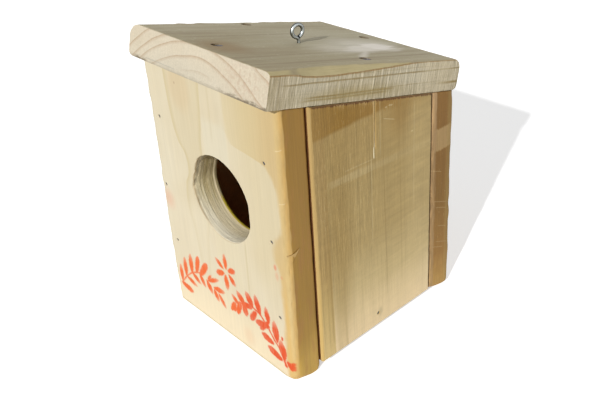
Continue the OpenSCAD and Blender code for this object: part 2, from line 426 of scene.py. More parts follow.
def screw_hole(x, y):
    """A countersunk hole, its mouth torn a little by the head, down from the roof."""
    head, shank = SCREW_HEAD_R + SHANK_CLEAR, SCREW_R + SHANK_CLEAR
    foot = -SCREW_SET - SCREW_LENGTH - 0.1
    profile = [
        (0, foot), (shank, foot), (shank, -SCREW_SET - SCREW_HEAD_R + SCREW_R),
        (head, -SCREW_SET), (head, -0.7), (head + 0.05, 0.3), (head + 0.15, 1.6),
        (head + 0.3, SCREW_HEAD_R), (0, SCREW_HEAD_R),
    ]

    def torn(turn, height):
        rim = smooth(height, -0.9, 0.3)
        spot = np.array([[3 * math.cos(turn) + x, 3 * math.sin(turn) + y, 0]])
        return rim * 0.25 * noise(spot, (1.3, 1.3, 1), 15)[0]

    return place(
        lathe(profile, segments=48, wobble=torn), Matrix.Translation((x, y, roof_top(y)))
    )


def eye_hole():
    """The eye screw's pilot hole, plumb, its mouth a little worn."""
    shank = EYE_WIRE_R + SHANK_CLEAR
    profile = [(0, -EYE_DEPTH), (shank, -EYE_DEPTH), (shank, -0.8), (shank + 0.5, 0.3),
               (shank + 0.9, 2), (0, 2)]
    return place(
        lathe(profile, segments=24), Matrix.Translation((EYE_X, EYE_Y, roof_top(EYE_Y)))
    )


screw_holes = {name: screw_hole(x, y) for name, (x, y) in SCREWS.items()}


# Where the entrance is out of round: turn in degrees, clockwise from the right as
# seen from the front, half-width in degrees, depth, and how far back it reaches.
FLATS = ((201, 26, 1.8, 60), (0, 19, 1.1, 3.4), (360, 19, 1.1, 3.4))


def entrance_cutter():
    """The bore, with its worn front rim and broken back rim, pointing back."""
    depth = FRONT_THICK
    outline = [(0, -3), (HOLE_R + 2.2, -3), (HOLE_R + 0.45, 0.0), (HOLE_R + 0.2, 0.4)]
    outline += [(HOLE_R, y) for y in np.linspace(1.2, depth - 2.4, 26)]
    outline += [(HOLE_R + 0.5, depth - 1.2), (HOLE_R + 1.7, depth), (HOLE_R + 4.7, depth + 3)]
    outline += [(0, depth + 3)]

    def wobble(turn, height):
        spot = np.array([[12 * math.cos(turn), 12 * math.sin(turn), height]])
        rough = 0.16 * noise(spot, (7, 7, 0.9), 5)[0]
        rough += 0.10 * noise(spot, (0.8, 0.8, 1.3), 6)[0]
        for middle, half, amount, reach in FLATS:
            off = min(1, abs(math.degrees(turn) - middle) / half)
            flat = 0.5 + 0.5 * math.cos(off * math.pi)
            rough -= amount * flat * (1 - smooth(height, 0.4, reach))
        rim = max(0, 1 - abs(height) / 3.0)
        torn = max(0, math.cos(turn - math.radians(183))) ** 3
        rough += rim * torn * 1.1 * noise(spot, (1.1, 1.1, 4), 7)[0]
        return rough

    solid = lathe(outline, segments=220, wobble=wobble)
    return place(solid, Matrix.Translation((HOLE_X, 0, HOLE_Z)) @ POINT_BACK)


# ---- node graphs -------------------------------------------------------------


class Value:
    """A number or vector in a material's nodes, for use in plain formulas."""

    def __init__(self, graph, socket):
        self.graph = graph
        self.socket = socket

    def __add__(self, other):
        return self.graph.math("ADD", self, other)

    def __sub__(self, other):
        return self.graph.math("SUBTRACT", self, other)

    def __rsub__(self, other):
        return self.graph.math("SUBTRACT", other, self)

    def __mul__(self, other):
        return self.graph.math("MULTIPLY", self, other)

    def __truediv__(self, other):
        return self.graph.math("DIVIDE", self, other)

    def __abs__(self):
        return self.graph.math("ABSOLUTE", self)

    def __or__(self, other):
        return self.graph.math("MAXIMUM", self, other)

    __radd__ = __add__
    __rmul__ = __mul__


class Coat(Value):
    """A colour that is built up layer by layer."""

    def tint(self, amount, colour):
        """Covers it with a colour as far as the amount, from 0 to 1."""
        self.socket = self.graph.mix(amount, self, colour).socket

    def shade(self, factor):
        """Makes it lighter or darker."""
        self.socket = self.graph.shade(self, factor).socket


class Graph:
    """Builds a material's nodes with one short call each."""

    def __init__(self, tree):
        self.tree = tree

    def coat(self, first):
        """The first layer of a coat."""
        return Coat(self, first.socket)

    def feed(self, socket, value):
        """Links a value to a node's input, or sets the input to a constant."""
        if isinstance(value, Value):
            self.tree.links.new(value.socket, socket)
        elif socket.type == "RGBA" and len(value) == 3:
            socket.default_value = (*value, 1)
        else:
            socket.default_value = value

    def node(self, kind, output=0, settings=(), **inputs):
        """A new node of any kind, with its settings and inputs by name."""
        made = self.tree.nodes.new(kind)
        for name, value in dict(settings).items():
            setattr(made, name, value)
        for name, value in inputs.items():
            self.feed(made.inputs[name.replace("_", " ")], value)
        return Value(self, made.outputs[output])

    def math(self, operation, *values):
        made = self.tree.nodes.new("ShaderNodeMath")
        made.operation = operation
        for socket, value in zip(made.inputs, values):
            self.feed(socket, value)
        return Value(self, made.outputs[0])

    def vector_math(self, operation, *values, output=0):
        made = self.tree.nodes.new("ShaderNodeVectorMath")
        made.operation = operation
        for socket, value in zip(made.inputs, values):
            self.feed(socket, value)
        return Value(self, made.outputs[output])

    def place(self):
        """The surface point in the object's own frame, in millimetres."""
        raw = self.node("ShaderNodeTexCoord", output="Object")
        return self.vector_math("MULTIPLY", raw, (1000, 1000, 1000))

    def facing(self):
        """The surface normal in the object's own frame, as three numbers."""
        return self.split(self.node("ShaderNodeTexCoord", output="Normal"))

    def split(self, vector):
        made = self.tree.nodes.new("ShaderNodeSeparateXYZ")
        self.feed(made.inputs[0], vector)
        return [Value(self, socket) for socket in made.outputs]

    def vector(self, x, y, z):
        return self.node("ShaderNodeCombineXYZ", X=x, Y=y, Z=z)

    def noise(self, vector, sizes, detail=2.0, roughness=0.5, shift=0.0):
        """Noise from 0 to 1 whose lumps are about as big as sizes."""
        scale = tuple(1.0 / s for s in sizes)
        moved = self.vector_math("MULTIPLY", vector, scale)
        moved = self.vector_math("ADD", moved, (shift, shift * 1.7, shift * 0.6))
        return self.node(
            "ShaderNodeTexNoise", Vector=moved, Scale=1.0, Detail=detail, Roughness=roughness
        )

    def step(self, value, low, high):
        """0 at low and 1 at high, with a soft step between."""
        return self.node(
            "ShaderNodeMapRange", settings={"interpolation_type": "SMOOTHSTEP"},
            Value=value, From_Min=low, From_Max=high,
        )

    def fall(self, value, low, high):
        """1 at low and 0 at high, with a soft step between."""
        return 1.0 - self.step(value, low, high)

    def band(self, value, low, high, soft):
        """1 between low and high, with soft flanks outside them."""
        return self.step(value, low - soft, low) * self.fall(value, high, high + soft)

    def line(self, value, at, width):
        """1 where the value is at a place, falling to 0 at width away from it."""
        return self.fall(abs(value - at), 0.0, width)

    def blob(self, a, b, centre, size, soft=0.4):
        """1 inside an ellipse with the given half-axes, with a soft rim."""
        across = (a - centre[0]) / size[0]
        along = (b - centre[1]) / size[1]
        return self.fall(self.hypot(across, along), 1.0 - soft, 1.0 + soft)

    def hypot(self, a, b):
        return self.math("SQRT", a * a + b * b)

    def blend(self, value, stops):
        """A colour ramp; the stops are (value, colour) in rising order."""
        low, high = stops[0][0], stops[-1][0]
        made = self.tree.nodes.new("ShaderNodeValToRGB")
        self.feed(made.inputs[0], (value - low) / (high - low))
        elements = made.color_ramp.elements
        while len(elements) < len(stops):
            elements.new(1.0)
        for element, (at, colour) in zip(elements, stops):
            element.position = (at - low) / (high - low)
            element.color = (*colour, 1)
        return Value(self, made.outputs[0])

    def path(self, value, points):
        """A smooth curve through (value, result) points, level beyond its ends."""
        low, high = points[0][0], points[-1][0]
        least = min(result for _, result in points)
        most = max(result for _, result in points)
        made = self.tree.nodes.new("ShaderNodeFloatCurve")
        made.mapping.extend = "HORIZONTAL"
        line = made.mapping.curves[0]
        spots = [((a - low) / (high - low), (b - least) / (most - least)) for a, b in points]
        for spot in spots[1:-1]:
            line.points.new(*spot)
        line.points[0].location, line.points[-1].location = spots[0], spots[-1]
        made.mapping.update()
        self.feed(made.inputs["Value"], (value - low) / (high - low))
        return Value(self, made.outputs[0]) * (most - least) + least

    def mix(self, factor, a, b):
        """Colour a where the factor is 0 and b where it is 1."""
        made = self.tree.nodes.new("ShaderNodeMix")
        made.data_type = "RGBA"
        made.clamp_factor = True
        self.feed(made.inputs[0], factor)
        self.feed(made.inputs[6], a)
        self.feed(made.inputs[7], b)
        return Value(self, made.outputs[2])

    def shade(self, colour, factor):
        """A colour or vector times a number."""
        made = self.tree.nodes.new("ShaderNodeVectorMath")
        made.operation = "SCALE"
        self.feed(made.inputs[0], colour)
        self.feed(made.inputs["Scale"], factor)
        return Value(self, made.outputs[0])

    def bump(self, height):
        """A normal bent by a height in millimetres."""
        return self.node("ShaderNodeBump", Strength=1.0, Distance=MM, Height=height)


class Surface(Graph):
    """A material with one Principled shader, and where its surface is and faces."""

    def __init__(self, name):
        self.material = bpy.data.materials.new(name)
        self.material.use_nodes = True
        super().__init__(self.material.node_tree)
        self.shader = self.tree.nodes["Principled BSDF"]
        self.p = self.place()
        self.x, self.y, self.z = self.split(self.p)
        self.nx, self.ny, self.nz = self.facing()

    def finish(self, colour, roughness, height=None, **others):
        """Feeds the shader.  The height, if there is one, is a bump in millimetres."""
        inputs = {"Base_Color": colour, "Roughness": roughness, **others}
        if height is not None:
            inputs["Normal"] = self.bump(height)
        for name, value in inputs.items():
            self.feed(self.shader.inputs[name.replace("_", " ")], value)
        return self.material


# ---- the painted sprig -------------------------------------------------------

# Strokes on the front face, each base x, z, tip x, z and width.  Two leafy
# sprigs rise from the middle to the sides, with a six-petalled flower between.
# The ends were picked by eye in the photo, and a scratch script worked most of
# these millimetres out from them, so the lists are data and not a design.
LEAVES = [
    (-64.3, 21.6, -64.1, 37.3, 5.0), (-57.2, 30.0, -56.4, 47.8, 5.4),
    (-48.1, 37.4, -47.2, 54.9, 5.8), (-25.7, 40.4, -11.1, 48.3, 3.7),
    (-25.7, 41.8, -20.3, 48.0, 2.5), (-18.1, 37.3, -4.8, 39.8, 5.0),
    (-56.3, 29.2, -43.1, 26.0, 4.3), (-47.3, 37.2, -37.0, 31.5, 4.7),
    (-36.7, 41.3, -30.4, 31.6, 4.8), (-27.1, 39.7, -21.5, 30.3, 5.8),
    (-18.2, 35.4, -13.9, 26.8, 5.3), (-12.6, 34.4, -5.2, 24.7, 4.3),
    (13.1, 37.7, 5.0, 43.4, 4.4), (20.2, 42.0, 12.1, 50.0, 6.6),
    (30.0, 45.5, 23.5, 55.6, 7.0), (38.2, 43.2, 34.3, 58.0, 6.6),
    (47.6, 39.9, 45.8, 53.5, 5.5), (55.8, 28.3, 54.2, 45.4, 7.2),
    (62.8, 16.1, 60.0, 31.5, 8.0), (61.7, 33.0, 62.1, 36.1, 2.2),
    (-2.7, 63.5, -11.2, 69.1, 4.3), (1.0, 65.0, 0.6, 77.6, 4.4),
    (-0.2, 58.2, 0.2, 45.3, 5.4), (4.5, 60.6, 10.9, 53.9, 5.0),
]
BLUNT_LEAVES = [
    (-40.9, 41.5, -36.4, 56.8, 5.2), (-35.0, 41.8, -25.4, 55.4, 5.9),
    (-64.3, 18.6, -51.5, 16.8, 5.6), (-3.2, 59.5, -10.8, 55.8, 5.2),
    (4.6, 64.3, 11.0, 67.8, 4.8), (3.0, 28.6, 8.2, 36.6, 4.8),
    (6.2, 29.0, 9.8, 33.4, 3.2), (10.6, 29.4, 14.8, 40.6, 5.4),
    (19.6, 42.5, 20.7, 33.3, 6.5), (17.2, 41.2, 28.6, 44.5, 5.0),
    (33.1, 41.8, 27.0, 32.7, 5.1), (46.9, 36.9, 33.8, 33.4, 6.2),
    (47.3, 40.6, 37.9, 29.6, 4.2), (50.1, 23.9, 40.1, 25.8, 6.3),
    (58.5, 13.8, 46.4, 16.8, 7.0), (66.5, 14.6, 72.4, 11.3, 6.0),
    (66.8, 12.2, 73.0, 16.7, 3.0),
]
STEMS = [
    (-64.7, 20.0, -56.6, 29.7, 1.4), (-56.6, 29.7, -47.1, 37.9, 1.2),
    (-47.1, 37.9, -35.4, 43.0, 1.4), (28.7, 45.4, 38.6, 43.2, 2.0),
    (38.6, 43.2, 43.7, 38.5, 2.0), (46.5, 35.9, 52.8, 27.7, 1.9),
    (52.8, 27.7, 58.9, 22.3, 1.9), (58.9, 22.3, 64.1, 10.7, 3.0),
]


def stroke_group(name, profile, fade):
    """A node group that gives how far a point is inside one painted stroke.

    profile holds (share of the length, share of the width) points, and fade is
    how thin the paint gets at the tip.
    """
    tree = bpy.data.node_groups.new(name, "ShaderNodeTree")
    for socket in ("Point", "Base", "Tip"):
        tree.interface.new_socket(socket, in_out="INPUT", socket_type="NodeSocketVector")
    tree.interface.new_socket("Width", in_out="INPUT", socket_type="NodeSocketFloat")
    tree.interface.new_socket("Paint", in_out="OUTPUT", socket_type="NodeSocketFloat")
    g = Graph(tree)
    inside = tree.nodes.new("NodeGroupInput")
    point, base, tip, width = [Value(g, socket) for socket in inside.outputs[:4]]
    axis = g.vector_math("SUBTRACT", tip, base)
    reach = g.vector_math("SUBTRACT", point, base)
    length = g.vector_math("LENGTH", axis, output="Value")
    along = g.vector_math("DOT_PRODUCT", reach, axis, output="Value") / (length * length)
    nearest = g.math("MINIMUM", along | 0.0, 1.0)
    spot = g.shade(axis, nearest)
    off = g.vector_math("DISTANCE", reach, spot, output="Value")
    half = g.path(nearest, profile) * width * 0.5
    paint = g.step(half - off, -1.0, 0.7) * (1.0 - fade * g.step(along, 0.55, 1.1))
    outside = tree.nodes.new("NodeGroupOutput")
    tree.links.new(paint.socket, outside.inputs[0])
    return tree


def painted(g, x, z):
    """How much paint lies at a point of the front face, from 0 to 1."""
    pointed = [(0, 0.3), (0.2, 0.75), (0.45, 1), (0.75, 0.8), (1, 0.2)]
    blunt = [(0, 0.55), (0.3, 0.9), (0.7, 1), (1, 0.55)]
    groups = [
        (LEAVES, stroke_group("leaf", pointed, 0.45)),
        (BLUNT_LEAVES, stroke_group("blunt leaf", blunt, 0.1)),
        (STEMS, stroke_group("stem", [(0, 1), (0.5, 0.8), (1, 1)], 0.0)),
    ]
    flat = g.vector(x, 0.0, z)
    ragged = g.node(
        "ShaderNodeTexNoise", output="Color", Vector=flat, Scale=0.55, Detail=2.0
    )
    ragged = g.vector_math("MULTIPLY_ADD", ragged, (1.5, 0, 1.5), (-0.75, 0, -0.75))
    point = g.vector_math("ADD", flat, ragged)
    paint = None
    for strokes, tree in groups:
        for ax, az, bx, bz, width in strokes:
            one = g.node(
                "ShaderNodeGroup", settings={"node_tree": tree}, Point=point,
                Base=(ax, 0, az), Tip=(bx, 0, bz), Width=width,
            )
            paint = one if paint is None else paint | one
    return paint


# ---- materials ---------------------------------------------------------------

# Colours that several places share; a colour used once stands where it is used.
CREAM = (0.56, 0.49, 0.345)
HONEY = (0.475, 0.345, 0.160)
SPRAY, DEEP_SPRAY = (0.63, 0.105, 0.016), (0.565, 0.062, 0.009)
INNER = (0.43, 0.22, 0.09)
WOOD_GLOSS = 0.3


def fibres(g, sizes, depth):
    """Fine grain along a board, and a factor about 1 for its colour."""
    fine = g.noise(g.p, sizes, detail=3.0, roughness=0.65)
    return fine, 1.0 + (fine - 0.5) * depth


def inner_face(g, normal, place, at):
    """1 on a board's face towards the cavity."""
    return g.step(normal, 0.75, 0.95) * g.step(place, at - 0.6, at - 0.2)


def front_wood():
    """Planed pine: cream with a honey-stained corner and arris, and the sprig."""
    g = Surface("front_wood")
    fine, tone = fibres(g, (1.3, 1.3, 55), 0.17)
    cloud = g.noise(g.p, (26, 26, 60), shift=5.0)
    ragged = g.noise(g.p, (9, 9, 14), detail=4.0, roughness=0.6, shift=8.0) - 0.5
    colour = g.coat(g.blend(cloud, [
        (0.3, (0.54, 0.465, 0.32)), (0.5, CREAM), (0.7, (0.575, 0.51, 0.37)),
    ]))
    front_figure(g, colour, ragged)
    stain, arris, grime = honey_stain(g, colour, cloud, ragged)
    rubbed_paint = front_marks(g, colour, ragged)
    behind = front_edges(g, colour, cloud)
    bore, swirl = bore_wall(g, colour)

    # end grain shows the rings round a pith behind the board
    end = g.step(abs(g.nz), 0.75, 0.95) * (1.0 - bore)
    rings = g.math("PINGPONG", g.hypot(g.x + 4, g.y - 80), 4.5) / 4.5
    colour.tint(end * 0.6, g.mix(rings, (0.52, 0.38, 0.19), (0.34, 0.21, 0.09)))
    colour.tint(inner_face(g, g.ny, g.y, 23.0) * (1.0 - bore), INNER)
    colour.shade(tone)
    height = fine * 0.05 + swirl * bore * 0.45 + rubbed_paint * 0.02 + grime * arris * 0.08
    # the painted shade in the seam has no gloss
    return g.finish(colour, 0.66 - arris * 0.12 - stain * 0.06, height,
                    Specular_IOR_Level=WOOD_GLOSS - behind * WOOD_GLOSS)


def front_figure(g, colour, ragged):
    """Wood figure of the front face: one wide ring leaves it here, tan inside."""
    x, z = g.x, g.z
    colour.tint(g.step(x, 12, 50) * g.step(z, 50, 100) * 0.7, (0.522, 0.438, 0.270))
    left_ring = g.path(z, [(0, -25), (40, -30), (62, -32), (88, -35.3), (108, -39.3),
                           (124, -37.7), (140, -32), (159, -41), (180, -46.4), (217, -49)])
    right_ring = g.path(z, [(0, -23), (40, -20.5), (59, -18.6), (83, -16.3), (94, -13.9),
                            (130, -11), (166, -10.7), (181, -8.3), (217, -5)])
    inside = g.step(x - left_ring, -0.8, 0.8) * g.fall(x - right_ring, -0.8, 0.8)
    rims = g.fall(x - left_ring, 0.2, 6) | g.step(x - right_ring, -5.0, -0.2)
    core = 0.15 + 0.24 * g.step(z, 90, 140)
    colour.tint(inside * g.step(z, 34, 62) * (core + rims * 0.55), (0.49, 0.41, 0.245))
    bright = g.band(x, -6.0, 19.0, 3.0) * g.band(z + ragged * 16.0, 60, 184, 7.0)
    colour.tint(bright * 0.75,
                g.mix(g.step(z, 90, 150), (0.565, 0.495, 0.34), (0.56, 0.507, 0.375)))
    colour.tint(g.blob(x, z, (-31, 203), (13, 17), 0.4) * 0.65, (0.52, 0.41, 0.25))
    for at, low, high, strength in (
        (28.7, 52, 96, 0.5), (5.5, -9, 24, 0.4), (24.5, -9, 34, 0.4),
        (-52, 20, 60, 0.2), (2.0, 178, 240, 0.25),
    ):
        off = x - at - (z - 60) * 0.015
        line = g.step(off, -2.4, 0.0) * g.fall(off, 0.0, 0.8)
        colour.tint(line * strength * g.band(z, low, high, 9.0), (0.46, 0.385, 0.22))
    late = g.noise(g.p, (4.2, 4.2, 160), detail=1.0, shift=21.0)
    colour.shade(1.0 + (late - 0.5) * 0.07)
    # painted light: the face is lighter towards its foot, standing in for light thrown up from the
    # floor
    colour.tint(g.fall(z, 8, 62) * 0.7, (0.675, 0.575, 0.395))
    colour.tint(g.band(z, 58, 96, 20.0) * g.fall(x, -20, 0) * 0.4, (0.60, 0.535, 0.395))
    colour.tint(g.blob(x, z, (-35.4, 205.5), (0.7, 1.0), 0.6) * 0.6, (0.30, 0.20, 0.13))


def honey_stain(g, colour, cloud, ragged):
    """The stain in the upper right corner, and the honey-coloured arris below it."""
    x, y, z = g.x, g.y, g.z
    stain_edge = g.path(z, [(0, 66), (26, 65), (60, 66), (92, 65), (104, 60.5), (118, 63),
                            (130, 70), (150, 70), (165, 65), (172, 59), (175.5, 40),
                            (178, 24), (188, 20), (217, 19.5)])
    stain = g.step(x - stain_edge + ragged * 7.0, -2.6, 3.4)
    stain = stain * (1.0 - 0.40 * g.fall(x, 24, 46))
    deep = g.step(x + (cloud - 0.5) * 20.0, 40, 74)
    honey = g.mix(g.step(z, 50, 130), (0.545, 0.347, 0.104), HONEY)
    colour.tint(stain * 0.92, g.mix(deep, (0.507, 0.405, 0.22), honey))
    grime = g.noise(g.p, (2.5, 2.5, 9), detail=3.0, roughness=0.6, shift=31.0)
    arris = g.step(x + (grime - 0.5) * 1.5, 69.8, 72.8)
    rubbed = g.coat(g.blend(z, [
        (0, (0.56, 0.385, 0.15)), (60, (0.515, 0.38, 0.17)),
        (120, (0.485, 0.345, 0.145)), (217, (0.485, 0.35, 0.15)),
    ]))
    rubbed.tint(g.step(y, 0.6, 3.6) * 0.7, (0.53, 0.315, 0.085))
    rubbed.shade(0.84 + grime * 0.32)
    colour.tint(arris * 0.95, rubbed)
    return stain, arris, grime


def front_marks(g, colour, ragged):
    """A pale pink blotch, dabs of red, the painted sprig and the dirty foot."""
    x, y, z = g.x, g.y, g.z
    colour.tint(g.blob(x, z, (22.2, 13.7), (6, 7), 0.7) * 0.35, (0.60, 0.40, 0.24))
    dabs = g.blob(x, z, (61.0, 95.7), (1.4, 2.3), 0.5) * 0.7
    dabs = dabs | g.blob(x, z, (67.3, 90.3), (1.3, 1.3), 0.6) * 0.35
    dabs = dabs | g.blob(x, z, (62.3, 89.0), (1.6, 3.2), 0.7) * 0.32
    dabs = dabs | g.blob(x, z, (-66.5, 99.5), (6.5, 7.0), 0.9) * 0.30
    colour.tint(dabs, (0.58, 0.17, 0.09))
    paint = painted(g, x, z) * g.fall(y, 1.0, 3.0)
    rubbed = g.noise(g.p, (1.1, 1.1, 7), detail=3.0, roughness=0.7, shift=11.0)
    paint = paint * (0.82 + 0.18 * g.step(rubbed, 0.30, 0.52))
    colour.tint(paint, g.mix(g.step(x + ragged * 30.0, -4, 34), SPRAY, DEEP_SPRAY))
    colour.tint(g.fall(z + ragged * 2.0, 0.6, 3.6) * 0.6, (0.40, 0.30, 0.15))
    return rubbed * paint


def front_edges(g, colour, cloud):
    """The edge faces are brown and redder at the top, with painted shade in the seam behind."""
    x, y, z = g.x, g.y, g.z
    sway = g.noise(g.p, (40, 40, 13), detail=1.0, shift=37.0) - 0.5
    browned = g.step(y + sway * 1.6 + g.fall(z, 20, 110) * 0.7, 4.2, 5.2)
    browned = browned * g.step(abs(x), 73.0, 74.0) * g.fall(abs(x), FACE_X + 0.02, FACE_X + 0.08)
    streak = g.noise(g.p, (3, 1.3, 70), detail=3.0, roughness=0.65, shift=14.0)
    brown = g.coat(g.blend(z + (cloud - 0.5) * 60.0, [
        (-10, (0.50, 0.312, 0.063)), (14, (0.475, 0.297, 0.060)), (34, (0.373, 0.217, 0.037)),
        (60, (0.337, 0.190, 0.030)), (120, (0.315, 0.174, 0.029)), (217, (0.300, 0.163, 0.028)),
    ]))
    reddish = g.noise(g.p, (6, 6, 22), detail=2.0, shift=24.0)
    brown.tint(g.step(reddish, 0.5, 0.68) * 0.35, (0.36, 0.165, 0.05))
    brown.shade(0.80 + streak * 0.40)
    colour.tint(browned, brown)
    # painted shade: the seam against the side board is dark
    behind = g.step(y, 20.9, 23.0) * g.step(abs(x), 72.0, 73.5)
    colour.tint(behind * 0.92, (0.115, 0.032, 0.003))

    # a painted shadow in the crack where the sliver tore away, and two pale crescents in the arris
    # that are painted highlights on the rims of its chips
    tear = g.path(y, [(0.5, 110.1), (3.8, 110.5), (6.4, 111.2), (11.6, 113.5)])
    tear_shadow = g.line(z - tear, 0.0, 0.45) * g.band(y, 3.2, 9.0, 2.6)
    colour.tint(tear_shadow * g.step(x, 72.0, 73.5) * 0.8, (0.16, 0.085, 0.02))
    # painted highlights: pale crescents on the rims of two chips in the arris
    for at, reach in ((187.8, 2.6), (149.6, 2.2)):
        curve = g.line(z - (y - 1.5) * (y - 1.5) * 0.16 - (x - 72) * 0.25, at, 0.5)
        curve = curve * g.band(x, 70.8, 74.9, 0.6) * g.band(y, -9.0, reach, 1.0)
        colour.tint(curve * 0.55, (0.66, 0.55, 0.34))
    return behind


def bore_wall(g, colour):
    """The entrance's wall: streaked end grain, browned by painted shade at its top, pale at its
    foot.
    """
    y = g.y
    dx, dz = g.x - HOLE_X, g.z - HOLE_Z
    flare = g.step(y, 20.8, 23.3) * 1.9
    bore = g.fall(g.hypot(dx, dz) - flare, HOLE_R + 0.5, HOLE_R + 1.1) * g.step(y, 0.3, 0.9)
    centred = g.vector(dx, y, dz)
    swirl = g.noise(centred, (40, 1.1, 40), detail=4.0, roughness=0.7, shift=3.0)
    broad = g.noise(centred, (30, 3.6, 30), detail=1.0, shift=9.0)
    bored = g.coat(g.blend(swirl, [
        (0.33, (0.34, 0.28, 0.145)), (0.43, (0.56, 0.475, 0.275)),
        (0.52, (0.70, 0.615, 0.395)), (0.68, (0.80, 0.73, 0.53)),
    ]))
    bored.shade(0.72 + broad * 0.60)
    turn_up = dz * 0.83 - dx * 0.30
    # painted shade: the top of the bore is browner
    bore_top_shade = g.step(turn_up + (swirl - 0.5) * 26.0, 2, 31) * (1.0 - g.step(y, 6, 22) * 0.35)
    bored.tint(bore_top_shade * 0.42, (0.36, 0.24, 0.085))
    bored.tint(g.fall(dz, -30, -4) * 0.40, (0.86, 0.84, 0.78))
    bored.tint(g.step(y, 5, 12) * 0.45, (0.38, 0.275, 0.085))
    bored.tint(g.fall(y, 2, 7) * g.step(dx * -1.0, 2, 16) * 0.35, (0.90, 0.80, 0.58))
    # painted shade: the left part of the front rim is browner
    bored.tint(g.fall(y, 0.8, 2.4) * g.step(-4.0 - dx, 4, 22) * 0.75, (0.33, 0.215, 0.085))
    pores = g.step(g.noise(g.p, (0.9, 0.9, 0.9), detail=1.0, shift=2.0), 0.56, 0.66)
    bored.tint(pores * g.step(turn_up, 14, 28) * 0.7, (0.08, 0.045, 0.012))
    rear_rim = g.band(y + (swirl - 0.5) * 0.8, 18.5, 19.8, 0.4)
    bored.tint(rear_rim * 0.8, (0.80, 0.68, 0.44))
    yellow_rim = g.step(y, 19.9, 20.4) * g.step(dz * -1.0, 14, 21)
    bored.tint(yellow_rim * 0.95, (0.56, 0.43, 0.03))
    colour.tint(bore, bored)
    return bore, swirl


def side_wood(name, side):
    """Rough-sawn board, weathered brown under the eaves, and lighter low down, partly its own
    colour and partly painted light from the floor.
    """
    g = Surface(name)
    x, y, z = g.x, g.y, g.z
    rough = (1.0 - g.step(y, 76, 92) * 0.72) * (0.30 + 0.70 * g.step(z, 46, 96))
    hair = g.noise(g.p, (0.5, 1.1, 34), detail=3.0, roughness=0.75, shift=6.0)
    fine = g.noise(g.p, (0.6, 0.75, 7), detail=3.0, roughness=0.7, shift=2.0)
    wide = g.noise(g.p, (20, 6, 170), detail=2.0, shift=12.0)
    streaks = g.noise(g.p, (0.5, 2.2, 220), detail=2.0, roughness=0.6, shift=16.0)
    cloud = g.noise(g.p, (30, 24, 40), detail=3.0, shift=17.0) - 0.5
    marks = g.noise(g.p, (60, 30, 1.7), detail=2.0, roughness=0.6, shift=4.0)
    # lighter towards the foot: partly the board's colour, partly painted light thrown up by the
    # floor
    colour = g.coat(g.blend(z + cloud * 17.0, [
        (8, (0.80, 0.63, 0.375)), (28, (0.725, 0.57, 0.32)), (55, (0.57, 0.442, 0.218)),
        (92, (0.43, 0.313, 0.131)), (137, (0.408, 0.292, 0.117)), (190, (0.388, 0.264, 0.098)),
    ]))
    paler = g.step(y, 104, 130) * g.band(z, 66, 168, 24.0)
    colour.tint(paler * 0.35, (0.55, 0.42, 0.205))
    colour.shade(0.90 + wide * 0.20)
    side_front_strip(g, colour, hair, streaks)

    # brown where the eaves keep it dry, down to a soft level line
    sheltered = g.step(z + cloud * 4.0 + (hair - 0.5) * g.step(y, 84, 110) * 46.0, 184.8, 188.4)
    colour.tint(sheltered * 0.9, g.blend(y, [
        (24, (0.325, 0.192, 0.051)), (52, (0.265, 0.142, 0.022)), (86, (0.30, 0.168, 0.038)),
        (108, (0.332, 0.194, 0.055)), (143, (0.41, 0.285, 0.115)),
    ]))
    side_saw_marks(g, colour, hair, marks)
    side_growth_lines(g, colour)
    colour.shade(1.0 + (hair - 0.5) * rough * 0.85)
    colour.shade(1.0 + (fine - 0.5) * rough * 0.50)
    pricks = g.step(fine * hair, 0.335, 0.42) * rough * g.step(z, 60, 130)
    colour.tint(pricks * 0.5, (0.60, 0.48, 0.25))
    if side > 0:
        side_scars(g, colour, hair)
    below_roof = roof_underside(y) - z
    torn_zone = g.fall(below_roof + (hair - 0.5) * 12.0, 1.0, 6.5) * g.band(y, 49, 88, 8)
    colour.tint(g.step(hair, 0.52, 0.62) * torn_zone * 0.5, (0.62, 0.47, 0.24))
    # painted shade: a dark seam under the roof
    seam = g.fall(below_roof + (hair - 0.5) * 4.0, 0.5, 1.9)
    colour.tint(seam * 0.85, (0.08, 0.025, 0.012))

    # the front edge is cleaner and honey coloured, with painted shade in the seam beside it
    edge = g.blend(z, [
        (0, (0.53, 0.365, 0.13)), (110, (0.455, 0.31, 0.115)), (217, (0.40, 0.265, 0.10)),
    ])
    ahead = g.step(g.ny * -1.0, 0.12, 0.36)
    colour.tint(ahead, g.shade(edge, 0.80 + wide * 0.2 + streaks * 0.2))
    # painted shade: the seam beside the front board is dark
    beside = g.step(g.ny * -1.0, 0.12, 0.3) * g.fall(abs(x), FACE_X + 0.02, FACE_X + 0.35)
    colour.tint(beside * 0.95, (0.10, 0.028, 0.004))
    colour.tint(g.step(abs(g.nz), 0.75, 0.95) * 0.6, (0.42, 0.28, 0.12))
    colour.tint(inner_face(g, g.nx * -side, abs(x) * -1.0, -56.0), INNER)
    height = fine * 0.18 + marks * 0.12 + hair * 0.22 * rough
    return g.finish(colour, 0.80, height, Specular_IOR_Level=WOOD_GLOSS)


